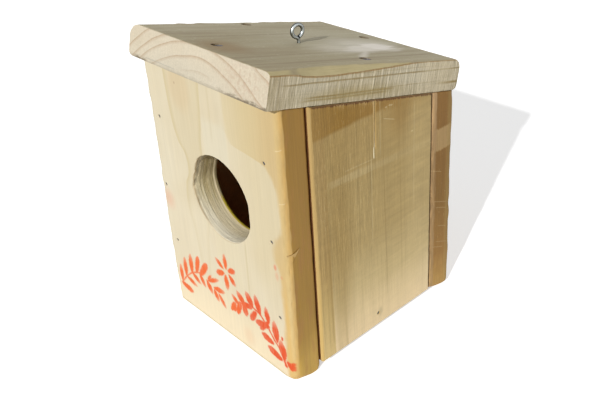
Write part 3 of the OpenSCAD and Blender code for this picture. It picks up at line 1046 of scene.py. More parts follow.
def side_front_strip(g, colour, hair, streaks):
    """A browner strip beside the side board's front edge, and a dull cloud by it."""
    y, z = g.y, g.z
    strip = g.fall(y + (hair - 0.5) * 1.5 + (z - 100) * 0.010, 36.2, 37.2)
    browner = g.blend(z, [
        (8, (0.64, 0.475, 0.19)), (45, (0.54, 0.385, 0.142)), (80, (0.445, 0.295, 0.105)),
        (130, (0.385, 0.26, 0.10)), (190, (0.37, 0.245, 0.09)),
    ])
    colour.tint(strip * 0.8, g.shade(browner, 0.82 + streaks * 0.36))
    for at, width, strength in ((35.3, 1.7, 0.34), (31.8, 1.1, 0.22), (26.6, 0.9, 0.18)):
        lined = g.line(y + (z - 100) * 0.010, at, width) * g.band(z, 28, 142, 18.0)
        colour.tint(lined * strength, (0.27, 0.165, 0.05))
    colour.tint(g.blob(y, z, (46, 112), (11, 66), 0.8) * 0.70, (0.355, 0.237, 0.080))
    second = g.band(y + (hair - 0.5) * 2.0, 41.5, 49.5, 2.5) * g.fall(z, 62, 110)
    colour.tint(second * 0.24, (0.46, 0.33, 0.13))


def side_saw_marks(g, colour, hair, marks):
    """Band-saw marks across the grain, rising a little to the back."""
    y, z = g.y, g.z
    colour.shade(0.95 + marks * 0.10)
    ripple = g.noise(g.p, (60, 17, 3.4), detail=1.0, shift=7.0)
    ripple = (ripple - 0.5) * (0.4 + 0.6 * g.step(y, 84, 100)) * g.step(z, 30, 60)
    colour.shade(1.0 + ripple * 0.26)
    pale = g.band(z + (marks - 0.5) * 3.0 + (y - 70) * 0.06, 145.6, 148.6, 2.6)
    pale = pale * g.step(y, 34, 44) * (1.0 - g.step(y, 64, 120) * 0.6)
    pale = pale | g.line(z + (y - 70) * 0.05, 153.0, 0.9) * g.band(y, 56, 82, 4.0)
    colour.tint(pale * (0.45 + 0.55 * g.step(hair, 0.40, 0.60)) * 0.34, (0.60, 0.49, 0.27))


def side_growth_lines(g, colour):
    """Dark and pale growth lines along the side board."""
    y, z = g.y, g.z
    waver = (g.noise(g.p, (40, 40, 30), shift=9.0) - 0.5) * 1.6
    for at, low, high, width, strength in (
        (92.4, 46, 194, 1.0, 0.34), (109.3, 50, 200, 1.1, 0.22),
        (113.4, 60, 170, 0.9, 0.16), (84.2, 150, 194, 0.8, 0.28), (47.0, -20, 84, 1.9, 0.15),
    ):
        lined = g.line(y + waver + (z - 120) * 0.022, at, width) * g.band(z, low, high, 22.0)
        colour.tint(lined * strength, (0.25, 0.165, 0.06))
    for at, low, high in ((124.2, 104, 176), (88.6, 160, 196), (79.2, 90, 150)):
        lined = g.line(y + waver * 0.5, at, 0.8) * g.band(z, low, high, 12.0)
        colour.tint(lined * 0.30, (0.62, 0.51, 0.29))


def side_scars(g, colour, hair):
    """The right side board's split, pale wood with a painted highlight, scratches and grey stain.
    """
    y, z = g.y, g.z
    # the split: partly pale fresh wood, partly a painted highlight
    split = g.line(y + g.step(z, 160, 162.5) * -0.6, 81.75, 0.75) * g.step(z, 152.0, 153.5)
    colour.tint(split, (1.0, 0.90, 0.62))
    cloudy = g.blob(y + (hair - 0.5) * 12.0, z, (110, 181), (10, 16), 0.8)
    colour.tint(cloudy * 0.5, (0.31, 0.18, 0.048))
    scratch = g.line(z + (y - 99) * 0.40, 176.6, 0.45) * g.band(y, 93, 102.5, 1.5)
    for spot in ((98.3, 187.4), (100.2, 186.8), (94.6, 187.0), (122.0, 159.0)):
        scratch = scratch | g.blob(y, z, spot, (1.0, 0.5), 0.7) * 0.9
    colour.tint(scratch * 0.5, (0.74, 0.62, 0.36))
    colour.tint(g.blob(y, z, (86.0, 17.5), (2.4, 3.4), 0.7) * 0.35, (0.30, 0.26, 0.15))


def back_wood():
    """Brown sawn board, its lit arrises splintered pale."""
    g = Surface("back_wood")
    x, y, z = g.x, g.y, g.z
    fine, tone = fibres(g, (0.6, 0.9, 20), 0.45)
    streak = g.noise(g.p, (5, 2.2, 60), detail=3.0, roughness=0.65, shift=12.0)
    mottle = g.noise(g.p, (4, 4, 14), detail=3.0, roughness=0.6, shift=32.0)
    colour = g.coat(g.blend(z + (mottle - 0.5) * 30.0, [
        (0, (0.475, 0.29, 0.092)), (14, (0.435, 0.258, 0.076)), (36, (0.322, 0.172, 0.047)),
        (60, (0.285, 0.153, 0.041)), (90, (0.228, 0.122, 0.031)), (120, (0.226, 0.116, 0.029)),
        (200, (0.245, 0.128, 0.035)),
    ]))
    patch = g.band(z + (streak - 0.5) * 5.0, 131.5, 148.0, 1.8)
    colour.tint(patch * 0.75, (0.44, 0.295, 0.13))
    colour.tint(g.step(y + (streak - 0.5) * 5.0, 161, 166) * 0.45, (0.34, 0.24, 0.085))
    outer_figure = g.noise(g.p, (9, 9, 190), detail=2.0, shift=3.0)
    colour.tint(g.step(y, 166, 169.5), g.blend(outer_figure, [
        (0.35, (0.34, 0.20, 0.075)), (0.5, (0.47, 0.31, 0.13)), (0.65, (0.52, 0.36, 0.16)),
    ]))
    marks = g.noise(g.p, (50, 50, 1.6), detail=2.0, shift=4.0)
    colour.shade(0.76 + streak * 0.38 + marks * 0.1)

    # the broken front arrises are pale and pinkish
    chipped = g.noise(g.p, (0.9, 0.9, 9), detail=3.0, roughness=0.7, shift=19.0)
    ragged = (chipped - 0.5) * 5.0 + (streak - 0.5) * 4.0
    arris = g.step(abs(x), 73.6, 74.6) * g.fall(y + ragged, 148.2, 150.4)
    broken = g.blend(z, [
        (0, (0.41, 0.26, 0.11)), (60, (0.355, 0.225, 0.102)), (130, (0.335, 0.21, 0.095)),
        (165, (0.43, 0.275, 0.132)), (200, (0.52, 0.34, 0.18)),
    ])
    colour.tint(arris * 0.9, g.shade(broken, 0.74 + chipped * 0.52))
    # painted shade: a dark seam against the side board
    seam = g.step(abs(x), 72.0, 73.0) * g.fall(y, 144.9, 145.7)
    colour.tint(seam * 0.8, (0.09, 0.05, 0.02))
    for at, low, high in ((111.5, 146, 156), (84.5, 150, 164), (79.0, 152, 163),
                          (47.0, 153, 165), (42.0, 149, 160), (62.0, 155, 163)):
        scratch = g.line(z + (y - 156) * 0.42 + (chipped - 0.5) * 2.0, at, 0.6)
        colour.tint(scratch * g.band(y, low, high, 1.5) * 0.5, (0.47, 0.33, 0.155))
    flakes = g.step(g.noise(g.p, (1.1, 1.1, 4.5), detail=2.0, shift=23.0), 0.66, 0.76)
    colour.tint(flakes * 0.45, (0.50, 0.34, 0.15))
    colour.tint(inner_face(g, g.ny * -1.0, y * -1.0, -144.0), INNER)
    colour.shade(tone)
    return g.finish(colour, 0.78, fine * 0.16 + marks * 0.08, Specular_IOR_Level=WOOD_GLOSS)


def floor_wood():
    """Plain sawn board, its grain from side to side."""
    g = Surface("floor_wood")
    fine, tone = fibres(g, (34, 0.6, 0.6), 0.3)
    rings = g.noise(g.p, (160, 8, 8), detail=2.0, shift=3.0)
    colour = g.coat(g.blend(rings, [
        (0.35, (0.46, 0.31, 0.14)), (0.5, (0.60, 0.45, 0.24)), (0.65, (0.66, 0.51, 0.29)),
    ]))
    marks = g.noise(g.p, (1.6, 50, 50), detail=2.0, shift=4.0)
    colour.shade(0.92 + marks * 0.14)
    colour.shade(tone)
    return g.finish(colour, 0.8, fine * 0.12 + marks * 0.08, Specular_IOR_Level=WOOD_GLOSS)


def roof_wood():
    """Weathered slab from the outside of a log, in the roof's own frame."""
    g = Surface("roof_wood")
    x, s, t = g.x, g.y, g.z
    end = g.step(abs(g.ny), 0.55, 0.9)
    top = g.step(g.nz, 0.45, 0.85)
    sides = (1.0 - top) * (1.0 - end)
    right = g.step(x, 60, 70)
    fine, tone = fibres(g, (1.0, 26, 1.0), 0.34)
    broken = g.noise(g.p, (3, 14, 3), detail=3.0, roughness=0.6, shift=5.0)
    rim = g.path(s, WANE)
    radius = g.hypot(x - PITH_X, t - PITH_T)
    ring, late = roof_rings(g, rim, radius)
    upper, cross = roof_top_colour(g)
    ripped, hairs = roof_edge_colour(g, broken)
    worn_line = g.band(radius - rim, -0.95, -0.25, 0.30) * right * sides
    ripped.tint(worn_line * (0.5 + broken * 0.5), (0.29, 0.165, 0.045))

    # the log's own surface along the arris is smooth and golden
    wane = g.step(radius - rim, -0.42, -0.12) * right
    golden = g.coat(g.mix(broken, (0.40, 0.33, 0.165), (0.56, 0.475, 0.27)))
    golden.tint(g.step(s, 120, 170) * 0.6, (0.60, 0.46, 0.23))

    colour = g.coat(g.mix(top, ripped, upper))
    colour.tint(wane, golden)
    colour.tint(end, roof_end_colour(g, ring, late, broken))
    # painted shade, with dirt, darkens the walls of the screws' holes
    for spot in screw_spots():
        near = g.blob(x, s, spot, (4.25, 4.25), 0.05) * g.step(t, 8, 12)
        colour.tint(near * 0.9, (0.12, 0.08, 0.035))
    colour.shade(tone)
    height = fine * 0.16 + hairs * sides * (1.0 - wane) * 0.55 + cross * top * 0.10
    return g.finish(colour, 0.82, height - late * end * 0.05, Specular_IOR_Level=WOOD_GLOSS)


def roof_rings(g, rim, radius):
    """How far out in the log a point lies, and 1 in the late wood of each ring."""
    x = g.x
    sway = (g.noise(g.p, (26, 60, 26), detail=2.0, shift=1.0) - 0.5) * 2.0
    arch = g.fall(abs(x - 13.0), 0.0, 30.0) * g.fall(radius, 99.0, 106.0)
    ring = radius - (rim - WANE[0][1]) * 0.75 - g.step(x, 66, 77) * 1.6 + sway - arch * 1.4
    stops = [(84.0, (0, 0, 0))]
    for at in ROOF_RINGS:
        stops += [(at - 2.2, (0, 0, 0)), (at - 0.5, (0.55, 0.55, 0.55)), (at, (1, 1, 1)),
                  (at + 0.5, (0, 0, 0))]
    return ring, g.blend(ring, stops)


def roof_top_colour(g):
    """The sawn top: grey-olive, streaked where rings run out of it."""
    x, s = g.x, g.y
    grey = g.noise(g.p, (9, 120, 9), detail=3.0, roughness=0.55, shift=2.0)
    upper = g.coat(g.blend(grey, [
        (0.34, (0.345, 0.29, 0.185)), (0.5, (0.395, 0.345, 0.222)), (0.66, (0.425, 0.38, 0.255)),
    ]))
    upper.tint(g.blob(x, s, (2, 118), (34, 50), 0.9) * 0.55, (0.46, 0.425, 0.305))
    upper.tint(g.blob(x, s, (-56, 30), (17, 46), 0.8) * 0.45, (0.46, 0.40, 0.275))
    bend = (grey - 0.5) * 9.0
    for at, width, low, high, strength in (
        (-22.5, 3.2, 18, 92, 0.55), (-41, 1.2, -9, 150, 0.35), (-47, 1.0, -9, 180, 0.30),
        (-53, 1.4, -9, 120, 0.35), (38.5, 3.4, -9, 96, 0.50), (33.0, 1.2, -9, 60, 0.30),
        (57.5, 1.8, -9, 150, 0.55), (63.0, 1.0, -9, 180, 0.35), (48.0, 1.4, -9, 180, 0.30),
        (-32, 1.0, 60, 180, 0.28), (-12, 1.4, 40, 180, 0.22), (67.5, 0.9, 20, 160, 0.30),
    ):
        streak = g.line(x + bend * 0.35, at, width) * g.band(s, low, high, 22.0)
        upper.tint(streak * strength, (0.255, 0.20, 0.12))
    lines = g.noise(g.p, (1.5, 260, 1.5), detail=2.0, roughness=0.6, shift=15.0)
    dense = 0.35 + 0.65 * (g.fall(x, -55, -30) | g.step(x, 30, 50))
    upper.shade(1.0 + (lines - 0.5) * dense * 0.42)
    upper.tint(g.step(x, 60, 76) * 0.3, (0.40, 0.32, 0.185))
    upper.tint(g.fall(s, 30, 96) * g.step(x, -50, -15) * 0.24, (0.25, 0.185, 0.085))
    speck = g.noise(g.p, (0.9, 3.4, 0.9), detail=2.0, roughness=0.6, shift=35.0)
    pale = g.step(speck, 0.60, 0.72) * g.step(grey, 0.40, 0.5)
    upper.tint(pale * 0.55, (0.58, 0.53, 0.40))
    cross = g.noise(g.p, (60, 1.3, 60), detail=1.0, shift=6.0)
    upper.shade(0.95 + cross * 0.10)
    upper.tint(g.blob(x + bend, s, (8.0, 8.0), (17.0, 15.0), 0.7) * 0.75, (0.27, 0.18, 0.083))

    # a chalky patch behind the right screw, with a stem down to it
    ragged = g.noise(g.p, (2.2, 16, 2.2), detail=3.0, roughness=0.65, shift=28.0) - 0.5
    frayed = x + ragged * 9.0
    stem = g.line(frayed - g.path(s, [(90, 57), (118, 36)]), 0.0, 6.0) * g.band(s, 92, 116, 5.0)
    chalk = stem * 0.55
    for centre, size, soft, strength in (
        ((29, 136), (12, 17), 0.5, 0.97), ((22, 129), (17, 24), 0.8, 0.45),
        ((35, 114), (7.5, 22), 0.7, 0.70), ((29, 102), (12, 22), 0.9, 0.35),
        ((31, 119), (9, 16), 0.5, 0.75),
    ):
        chalk = chalk | g.blob(frayed, s + ragged * 24.0, centre, size, soft) * strength
    upper.tint(chalk * 0.95, (0.83, 0.775, 0.69))
    return upper, cross


def roof_end_colour(g, ring, late, broken):
    """End grain: pale cream with thin brown-pink ring lines, grey along its foot."""
    x, t = g.x, g.z
    speckle = g.noise(g.p, (0.8, 0.8, 0.8), detail=3.0, roughness=0.6, shift=8.0)
    cut = g.coat(g.mix(g.noise(g.p, (16, 16, 9), shift=13.0),
                       (0.495, 0.425, 0.31), (0.545, 0.482, 0.37)))
    faint = 1.0 - g.band(ring, 109.5, 114.0, 1.0) * g.step(x, 5, 25)
    faint = faint * (
        1.0 - g.band(ring, 80, 89, 1.0) * (0.45 + 0.55 * g.step(abs(x - 5.0), 8, 22)))
    cut.tint(late * faint * (0.45 + broken * 0.5), (0.33, 0.22, 0.13))
    pink = g.blob(x, t, (54, 13), (19, 10), 0.9) * g.step(broken, 0.46, 0.60)
    cut.tint(pink * 0.30, (0.38, 0.24, 0.17))
    cut.tint(g.blob(x, t, (-12, 2), (46, 9), 0.8) * 0.30, (0.44, 0.42, 0.34))
    mould = g.noise(g.p, (4.5, 4.5, 1.4), detail=4.0, roughness=0.75, shift=18.0)
    where = 0.25 + 0.75 * g.step(x, 22, 50) | g.blob(x, t, (-61, 1), (8, 3), 0.5)
    cut.tint(g.fall(t + (mould - 0.5) * 8.0, 0.6, 3.4) * where * 0.85, (0.13, 0.10, 0.06))
    grey_line = g.line(t + (mould - 0.5) * 2.0, 3.2, 0.8) * g.band(x, -52, -22, 6.0)
    cut.tint(grey_line * 0.45, (0.27, 0.26, 0.22))
    brushed = g.noise(g.p, (0.9, 20, 12), detail=1.0, shift=3.0)
    cut.shade(0.86 + speckle * 0.16 + brushed * 0.12)
    return cut


def roof_edge_colour(g, broken):
    """The right edge: ripped across, pale hairs on grey, ring lines along it."""
    s, t = g.y, g.z
    hairs = g.noise(g.p, (30, 1.0, 20), detail=3.0, roughness=0.75, shift=7.0)
    groups = g.noise(g.p, (30, 11, 60), detail=1.0, shift=16.0)
    ripped = g.coat(g.blend(hairs, [
        (0.30, (0.24, 0.20, 0.125)), (0.44, (0.43, 0.365, 0.235)),
        (0.56, (0.58, 0.50, 0.345)), (0.70, (0.80, 0.73, 0.55)),
    ]))
    ripped.shade(0.84 + groups * 0.32)
    light = g.blob(s, t, (28, 10), (14, 12), 0.8) | g.blob(s, t, (122, 15), (22, 7), 0.8)
    ripped.tint(light * 0.45, (0.62, 0.56, 0.42))
    wander = (broken - 0.5) * 1.2 - (s - 70) * 0.013
    for at, width, low, high, strength in (
        (15.9, 1.0, 10, 190, 0.75), (6.4, 1.1, 30, 96, 0.85), (4.6, 1.1, 28, 90, 0.75),
        (5.8, 1.7, 162, 190, 0.95), (7.4, 0.6, 90, 150, 0.35), (19.2, 0.6, 60, 150, 0.30),
    ):
        streak = g.line(t + wander, at, width) * g.band(s, low, high, 14.0)
        ripped.tint(streak * strength, (0.25, 0.175, 0.055))
    ripped.tint(g.blob(s, t, (66, 6), (40, 4.5), 0.9) * 0.6, (0.335, 0.25, 0.095))
    ripped.tint(g.fall(s, -2, 14) * 0.35, (0.31, 0.24, 0.13))
    ripped.tint(g.band(s, 143, 158, 16.0) * 0.45, (0.62, 0.53, 0.36))
    return ripped, hairs


def screw_spots():
    """Where the screws enter the roof's face, in the roof's own frame."""
    unturned = ROOF_FRAME.inverted()
    spots = []
    for x, y in SCREWS.values():
        spot = unturned @ Vector((x * MM, y * MM, roof_top(y) * MM))
        spots.append((x, spot.y / MM))
    return spots


def metal(name, colour, roughness, grime, grime_size, dark_rim_axis=None, soiled=False):
    """Steel, dirtied in patches, and painted dark as a reflection where it faces away from a
    direction.

    If soiled, the pieces at the left and at the back are covered in dirt.
    """
    g = Surface(name)
    dull = g.noise(g.p, (1.6, 1.6, 1.6), detail=3.0)
    dirt = g.step(g.noise(g.p, grime_size, detail=3.0, roughness=0.65, shift=4.0), 0.42, 0.66)
    tone = g.shade(colour, 0.72 + dull * 0.56)
    soil = (0.07, 0.055, 0.04)
    if soiled:
        caked = g.fall(g.x, -40, -30) | g.step(g.y, 130, 140)
        dirt = dirt | caked
        soil = g.mix(caked, soil, (0.17, 0.13, 0.065))
    # painted reflection: dark where the surface does not face along the axis
    if dark_rim_axis:
        normal = g.vector(g.nx, g.ny, g.nz)
        flank = abs(g.vector_math("DOT_PRODUCT", normal, dark_rim_axis, output="Value"))
        tone = g.mix(g.step(flank, 0.60, 0.98), g.shade(colour, 0.10), tone)
    return g.finish(g.mix(dirt * grime, tone, soil), roughness + dull * 0.16 + dirt * 0.3,
                    dull * 0.03, Metallic=1.0 - dirt * grime)


materials = {
    "front_wood": front_wood(),
    "back_wood": back_wood(),
    "left_side_wood": side_wood("left_side_wood", -1),
    "right_side_wood": side_wood("right_side_wood", 1),
    "floor_wood": floor_wood(),
    "roof_wood": roof_wood(),
    # the zinc eye gets painted dark reflections along its rims
    "zinc": metal("zinc", (0.56, 0.60, 0.60), 0.22, 0.10, (1.5, 1.5, 0.9),
                  dark_rim_axis=(0.86, -0.46, 0.22)),
    "screw_steel": metal("screw_steel", (0.13, 0.125, 0.135), 0.45, 0.9, (1.1, 1.1, 1.1),
                         soiled=True),
    "nail_steel": metal("nail_steel", (0.13, 0.125, 0.12), 0.45, 0.8, (0.8, 0.8, 0.8)),
}




# ---- the boards --------------------------------------------------------------


def dress(piece, slot, *nodes):
    """Gives a piece the material named by the slot and a body, and hides the CAD nodes it stands
    for.
    """
    piece.data.materials.clear()
    piece.data.materials.append(materials[slot])
    soften(piece)
    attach(piece, "root")
    if nodes:
        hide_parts(*nodes)


def front_relief(points, normals):
    """Planed and sanded, with the lit arris rubbed and chipped."""
    x, y = points[:, 0], points[:, 1]
    depth = 0.05 + 0.05 * noise(points, (14, 14, 40), 11)
    arris = smooth(np.abs(x), 69.5, 73) * (1 - smooth(y, 6, 9))
    depth += arris * (0.14 + 0.14 * noise(points, (3, 3, 7), 12))
    depth += arris * 0.45 * smooth(noise(points, (2.0, 2.0, 3.2), 13), 0.5, 0.85)
    for centre, size, deep in (
        ((74.4, 1.0, 187.6), (2.0, 1.8, 1.5), 0.7), ((75.0, 6.2, 210.8), (1.0, 0.9, 2.0), 0.6),
        ((75.0, 3.0, 149.5), (1.6, 2.2, 2.0), 0.4), ((74.4, 2.6, 110.8), (1.6, 2.8, 1.3), 0.5),
        ((61.6, 0.0, 52.6), (1.6, 1.0, 2.0), 0.35),
    ):
        depth += dent(points, centre, size, deep)
    return depth


def worn_corner(radius):
    """The radius of a lower corner, rounder at the front than at the back."""
    return lambda points: 1.0 + (radius - 1.0) * (1 - smooth(points[:, 1], 3, 17))


def front_arris(points):
    """The radius of a front arris, rounder towards the foot."""
    return 5.0 + 2.2 * (1 - smooth(points[:, 2], 4, 30))


def foot_edge(more, start):
    """The radius of a lower edge, rounder by more towards its right end."""
    return lambda points: 1.2 + more * smooth(points[:, 0], start, FACE_X - 1)


front = board(
    "front_board_planed", FRONT, (1.3, 1.5, 1.8), (front_arris, front_arris, 2.2, 2.2),
    arris_zone=7.6,
    worn_ends={(0, 0, 0): worn_corner(6.0), (0, 1, 0): worn_corner(6.0),
               (1, 0, 0): foot_edge(4.0, 62), (1, 1, 0): foot_edge(3.8, 50)},
    end_zone=6.2, top=roof_underside, relief=front_relief, seed=20,
)
combine(front, [entrance_cutter()])
combine(front, [screw_holes["roof_screw_front"], *front_nail_holes])
dress(front, "front_wood", "front_board")


def back_relief(points, normals):
    """Sawn, with splintered front arrises."""
    x, y = points[:, 0], points[:, 1]
    depth = 0.12 + 0.06 * noise(points, (50, 50, 1.8), 12)
    depth += 0.06 * noise(points, (1.4, 1.4, 26), 14)
    arris = smooth(np.abs(x), 74.2, 75.6) * (1 - smooth(y, 146.4, 148.4))
    depth += arris * 0.75 * smooth(noise(points, (1.6, 1.6, 4.5), 15), 0.0, 0.7)
    return depth


def slant_foot(points):
    """The foot rises towards the cavity in a slack curve."""
    y, z = points[:, 1], points[:, 2]
    rise = 6.0 * np.clip(1 - (y - BACK[0][1]) / 20, 0, 1) ** 1.4
    points[:, 2] = np.where(z < 14, rise + z * (1 - rise / 14), z)


back = board(
    "back_board_sawn", BACK, (1.6, 1.4, 2.0), (2.8, 2.8, 4.0, 4.0), arris_zone=4.8,
    worn_ends={(1, 1, 0): 4.0, (0, 0, 0): 5.0, (0, 1, 0): 5.0}, end_zone=5.0,
    top=roof_underside, form=slant_foot, relief=back_relief, seed=30,
)
combine(back, [screw_holes["roof_screw_back"], *back_nail_holes])
dress(back, "back_wood", "back_board")


def side_relief(side):
    """The relief of a side board: band-sawn across the grain, its fibres torn along it."""

    def relief(points, normals):
        y, z = points[:, 1], points[:, 2]
        depth = 0.16 + 0.05 * noise(points, (60, 34, 1.8), 12)
        depth += 0.05 * noise(points, (90, 40, 5), 13)
        depth += 0.07 * noise(points, (1.2, 1.1, 34), 14)
        if side > 0:
            gap = 1 - smooth(np.abs(y - 83.3), 0.1, 0.9)
            depth += gap * 0.5 * smooth(z, 150, 165) * smooth(normals[:, 0], 0.5, 0.9)
        return depth

    return relief


for side, box, name, arrises in ((-1, LEFT, "left", (2.6, 1.2, 1.2, 1.2)),
                                 (1, RIGHT, "right", (1.2, 2.6, 1.2, 1.2))):
    made = board(
        name + "_side_board_sawn", box, (1.6, 0.95, 1.15), arrises,
        top=roof_underside, relief=side_relief(side), seed=40 + side,
    )
    combine(made, [screw_holes["roof_screw_" + name], *floor_nail_holes,
                   *front_nail_holes, *back_nail_holes])
    dress(made, name + "_side_wood", name + "_side_board")


def floor_relief(points, normals):
    """Sawn, its grain from side to side."""
    return 0.12 + 0.08 * noise(points, (1.8, 50, 50), 12) + 0.04 * noise(points, (30, 2, 2), 13)


bottom = board("floor_board_sawn", FLOOR, (1.8, 3, 3), (0.8,) * 4, grain=0,
               relief=floor_relief, seed=50)
combine(bottom, floor_nail_holes)
dress(bottom, "floor_wood", "floor_board")


def leave_wane(points):
    """Brings the right upper arris of the roof down to the log's own surface."""
    across = points[:, 0] - PITH_X
    up = points[:, 2] - PITH_T
    radius = np.hypot(across, up)
    rim = np.interp(points[:, 1], *zip(*WANE))
    outside = (radius > rim) & (points[:, 0] > 30)
    factor = np.where(outside, rim / radius, 1)
    points[:, 0] = PITH_X + across * factor
    points[:, 2] = PITH_T + up * factor


def roof_relief(points, normals):
    """Band-sawn top, and a right edge ripped into hairs across its thickness."""
    x, s, t = points.T
    right = smooth(normals[:, 0], 0.75, 0.95)
    top = smooth(normals[:, 2], 0.5, 0.9)
    depth = 0.10 + 0.04 * noise(points, (2.2, 34, 2.2), 13)
    depth += top * 0.05 * noise(points, (60, 1.8, 60), 18)
    depth += right * (0.16 + 0.16 * noise(points, (30, 1.5, 16), 17))
    radius = np.hypot(x - PITH_X, t - PITH_T)
    ridge = np.zeros(len(points))
    for ring in ROOF_RINGS:
        ridge = np.maximum(ridge, 1 - smooth(np.abs(radius - ring), 0.3, 1.4))
    depth -= ridge * (0.03 + 0.05 * smooth(-normals[:, 1], 0.5, 0.9))
    brow = smooth(-s, 8.2, 9.2) * smooth(t, 22.4, 23.6)
    depth += brow * 0.7 * smooth(noise(points, (3.2, 2, 2), 19), 0.35, 0.8)
    return depth


roof = board(
    "roof_board_sawn", (ROOF_LOW, ROOF_HIGH), (1.3, 0.72, 1.2),
    (7.0, 1.2, 12.0, 1.2), end_round=1.0, grain=1,
    worn_ends={(2, 1, 1): 8.0, (2, 0, 1): 4.0}, end_zone=8.2,
    form=leave_wane, relief=roof_relief, matrix=ROOF_FRAME, seed=60,
)
combine(roof, [*screw_holes.values(), eye_hole()])
dress(roof, "roof_wood", "roof_board")


# ---- torn fibres -------------------------------------------------------------


def sliver(base, tip, radius, lift, seed, rings=9):
    """A torn fibre from base to tip that stands off by lift in its middle."""
    base, tip = np.array(base, float), np.array(tip, float)
    share = np.linspace(0, 1, rings)
    route = base + (tip - base) * share[:, None]
    route += np.outer(np.sin(share * math.pi), lift)
    route += 0.12 * np.stack([noise(route, (3, 3, 3), seed + k) for k in range(3)], axis=1)
    return sweep(route, radius * (1.02 - share ** 1.6), segments=6)


def fibre_piece(name, slot, slivers):
    """One piece made of torn fibres, dressed in the wood that they tore from."""
    points, faces = join(slivers)
    piece = new_object(name, new_mesh(name, points, faces))
    dress(piece, slot)


def spread(count, seed):
    """Numbers from -1 to 1, the same each run."""
    cells = np.stack([np.arange(count), np.full(count, 7), np.full(count, 3)], axis=1)
    return lattice_hash(cells, seed)


def eaves_fibres():
    """Hairs torn from the right side board under the roof, and one long bright split."""
    fibres = []
    for k, (u, v) in enumerate(zip(spread(22, 71), spread(22, 72))):
        y = 67 + 20 * u
        z = roof_underside(y) - 0.6
        fibres.append(sliver((77.28, y, z), (77.34, y + 0.5 * v, z - 2.2 - 1.7 * v), 0.18,
                             (0.04, 0.0, 0.0), 80 + k))
    fibres.append(sliver((77.3, 82.6, 195.8), (77.3, 81.9, 153.0), 0.42,
                         (0.0, -0.2, 0.0), 75, rings=24))
    return fibres


def arris_fibres():
    """Hairs torn from the back board's right front arris."""
    fibres = []
    for k, (u, v) in enumerate(zip(spread(34, 91), spread(34, 92))):
        y = 146.2 + 0.4 * v
        z = 110 + 76 * u
        fibres.append(sliver((76.55, y, z), (76.9, y + 0.6 + 0.4 * u, z - 4 - 3 * v), 0.24,
                             (0.04, -0.04, 0.0), 120 + k))
    return fibres


fibre_piece("right_side_board_torn_fibres", "right_side_wood", eaves_fibres())
fibre_piece("back_board_torn_fibres", "back_wood", arris_fibres())


def arris_flake():
    """The sliver lifted off the front board's right arris, pointing up and back."""
    low_edge = [(74.9, 4.3, 104.5), (75.0, 6.1, 106.7), (75.05, 7.8, 108.6),
                (75.15, 9.6, 110.7), (75.25, 11.3, 112.7)]
    high_edge = [(73.1, 0.9, 110.1), (74.8, 3.8, 110.1), (75.2, 6.4, 110.7),
                 (75.3, 8.9, 111.7), (75.3, 11.5, 113.0)]
    share = np.linspace(0, 1, 17)
    knots = np.linspace(0, 1, len(low_edge))
    edges = []
    for edge in (low_edge, high_edge):
        edge = np.array(edge)
        edges.append(np.stack([np.interp(share, knots, edge[:, k]) for k in range(3)], axis=1))
    # half the thickness, which fades towards the tip
    thick = 0.3 * (1.05 - share)[:, None] * np.array([0.8, -0.6, 0.0])
    low, high = edges
    rows = [low - thick, high - thick, high + thick, low + thick * 0.2]
    points = np.stack(rows, axis=1).reshape(-1, 3)
    faces = []
    for k in range(len(share) - 1):
        for a in range(4):
            b = (a + 1) % 4
            faces.append((4 * k + a, 4 * k + b, 4 * k + 4 + b, 4 * k + 4 + a))
    faces.append((3, 2, 1, 0))
    last = 4 * (len(share) - 1)
    faces.append((last, last + 1, last + 2, last + 3))
    return points, faces


fibre_piece("front_board_arris_flake", "front_wood", [arris_flake()])


# ---- nails, screws and the eye -----------------------------------------------


def nail_solid(length):
    """A lost-head nail in its hole's frame: z points into the wood."""
    top, end = NAIL_SET, NAIL_SET + length
    grips = [(NAIL_R - 0.08 * (k % 2), top + 1.2 + 0.5 * k) for k in range(8)]
    profile = [(0, top + 0.04), (0.75, top), (NAIL_HEAD_R - 0.15, top + 0.03),
               (NAIL_HEAD_R, top + 0.18), (NAIL_HEAD_R - 0.05, top + 0.35),
               (NAIL_R, top + 0.75), *grips, (NAIL_R, end - 3.0), (0.12, end - 0.1), (0, end)]
    return lathe(profile, segments=20)


for nails, length in ((FRONT_NAILS, NAIL_LENGTH), (BACK_NAILS, NAIL_LENGTH),
                      (FLOOR_NAILS, FLOOR_NAIL_LENGTH)):
    for name, matrix in nails.items():
        points, faces = place(nail_solid(length), matrix)
        piece = new_object(name + "_wire", new_mesh(name, points, faces))
        dress(piece, "nail_steel", name)


def threaded(low, high, core, crest, pitch, point):
    """Profile places between two heights, and the wobble that cuts their thread."""
    heights = np.arange(low, high, pitch / 7)
    tapers = [min(1.0, (h - low) / point) for h in heights]
    places = [(0.06 + (core - 0.06) * taper, h) for taper, h in zip(tapers, heights)]

    def thread(turn, height):
        if not low <= height <= high:
            return 0.0
        phase = (height / pitch - turn / (2 * math.pi)) % 1.0
        ridge = max(0.0, 1 - abs(phase - 0.5) / 0.24)
        run_out = smooth(height, low, low + point) * (1 - smooth(height, high - pitch, high))
        return (crest - core) * ridge * run_out

    return places, thread


def wedge(half_long, half_wide, foot_long, foot_wide, depth):
    """A bar along x that tapers downwards from z = 0.6."""
    points = []
    for z, a, b in ((-depth, foot_long, foot_wide), (0.6, half_long, half_wide)):
        points += [(-a, -b, z), (a, -b, z), (a, b, z), (-a, b, z)]
    faces = [(3, 2, 1, 0), (4, 5, 6, 7)]
    faces += [(k, (k + 1) % 4, (k + 1) % 4 + 4, k + 4) for k in range(4)]
    return np.array(points, float), faces


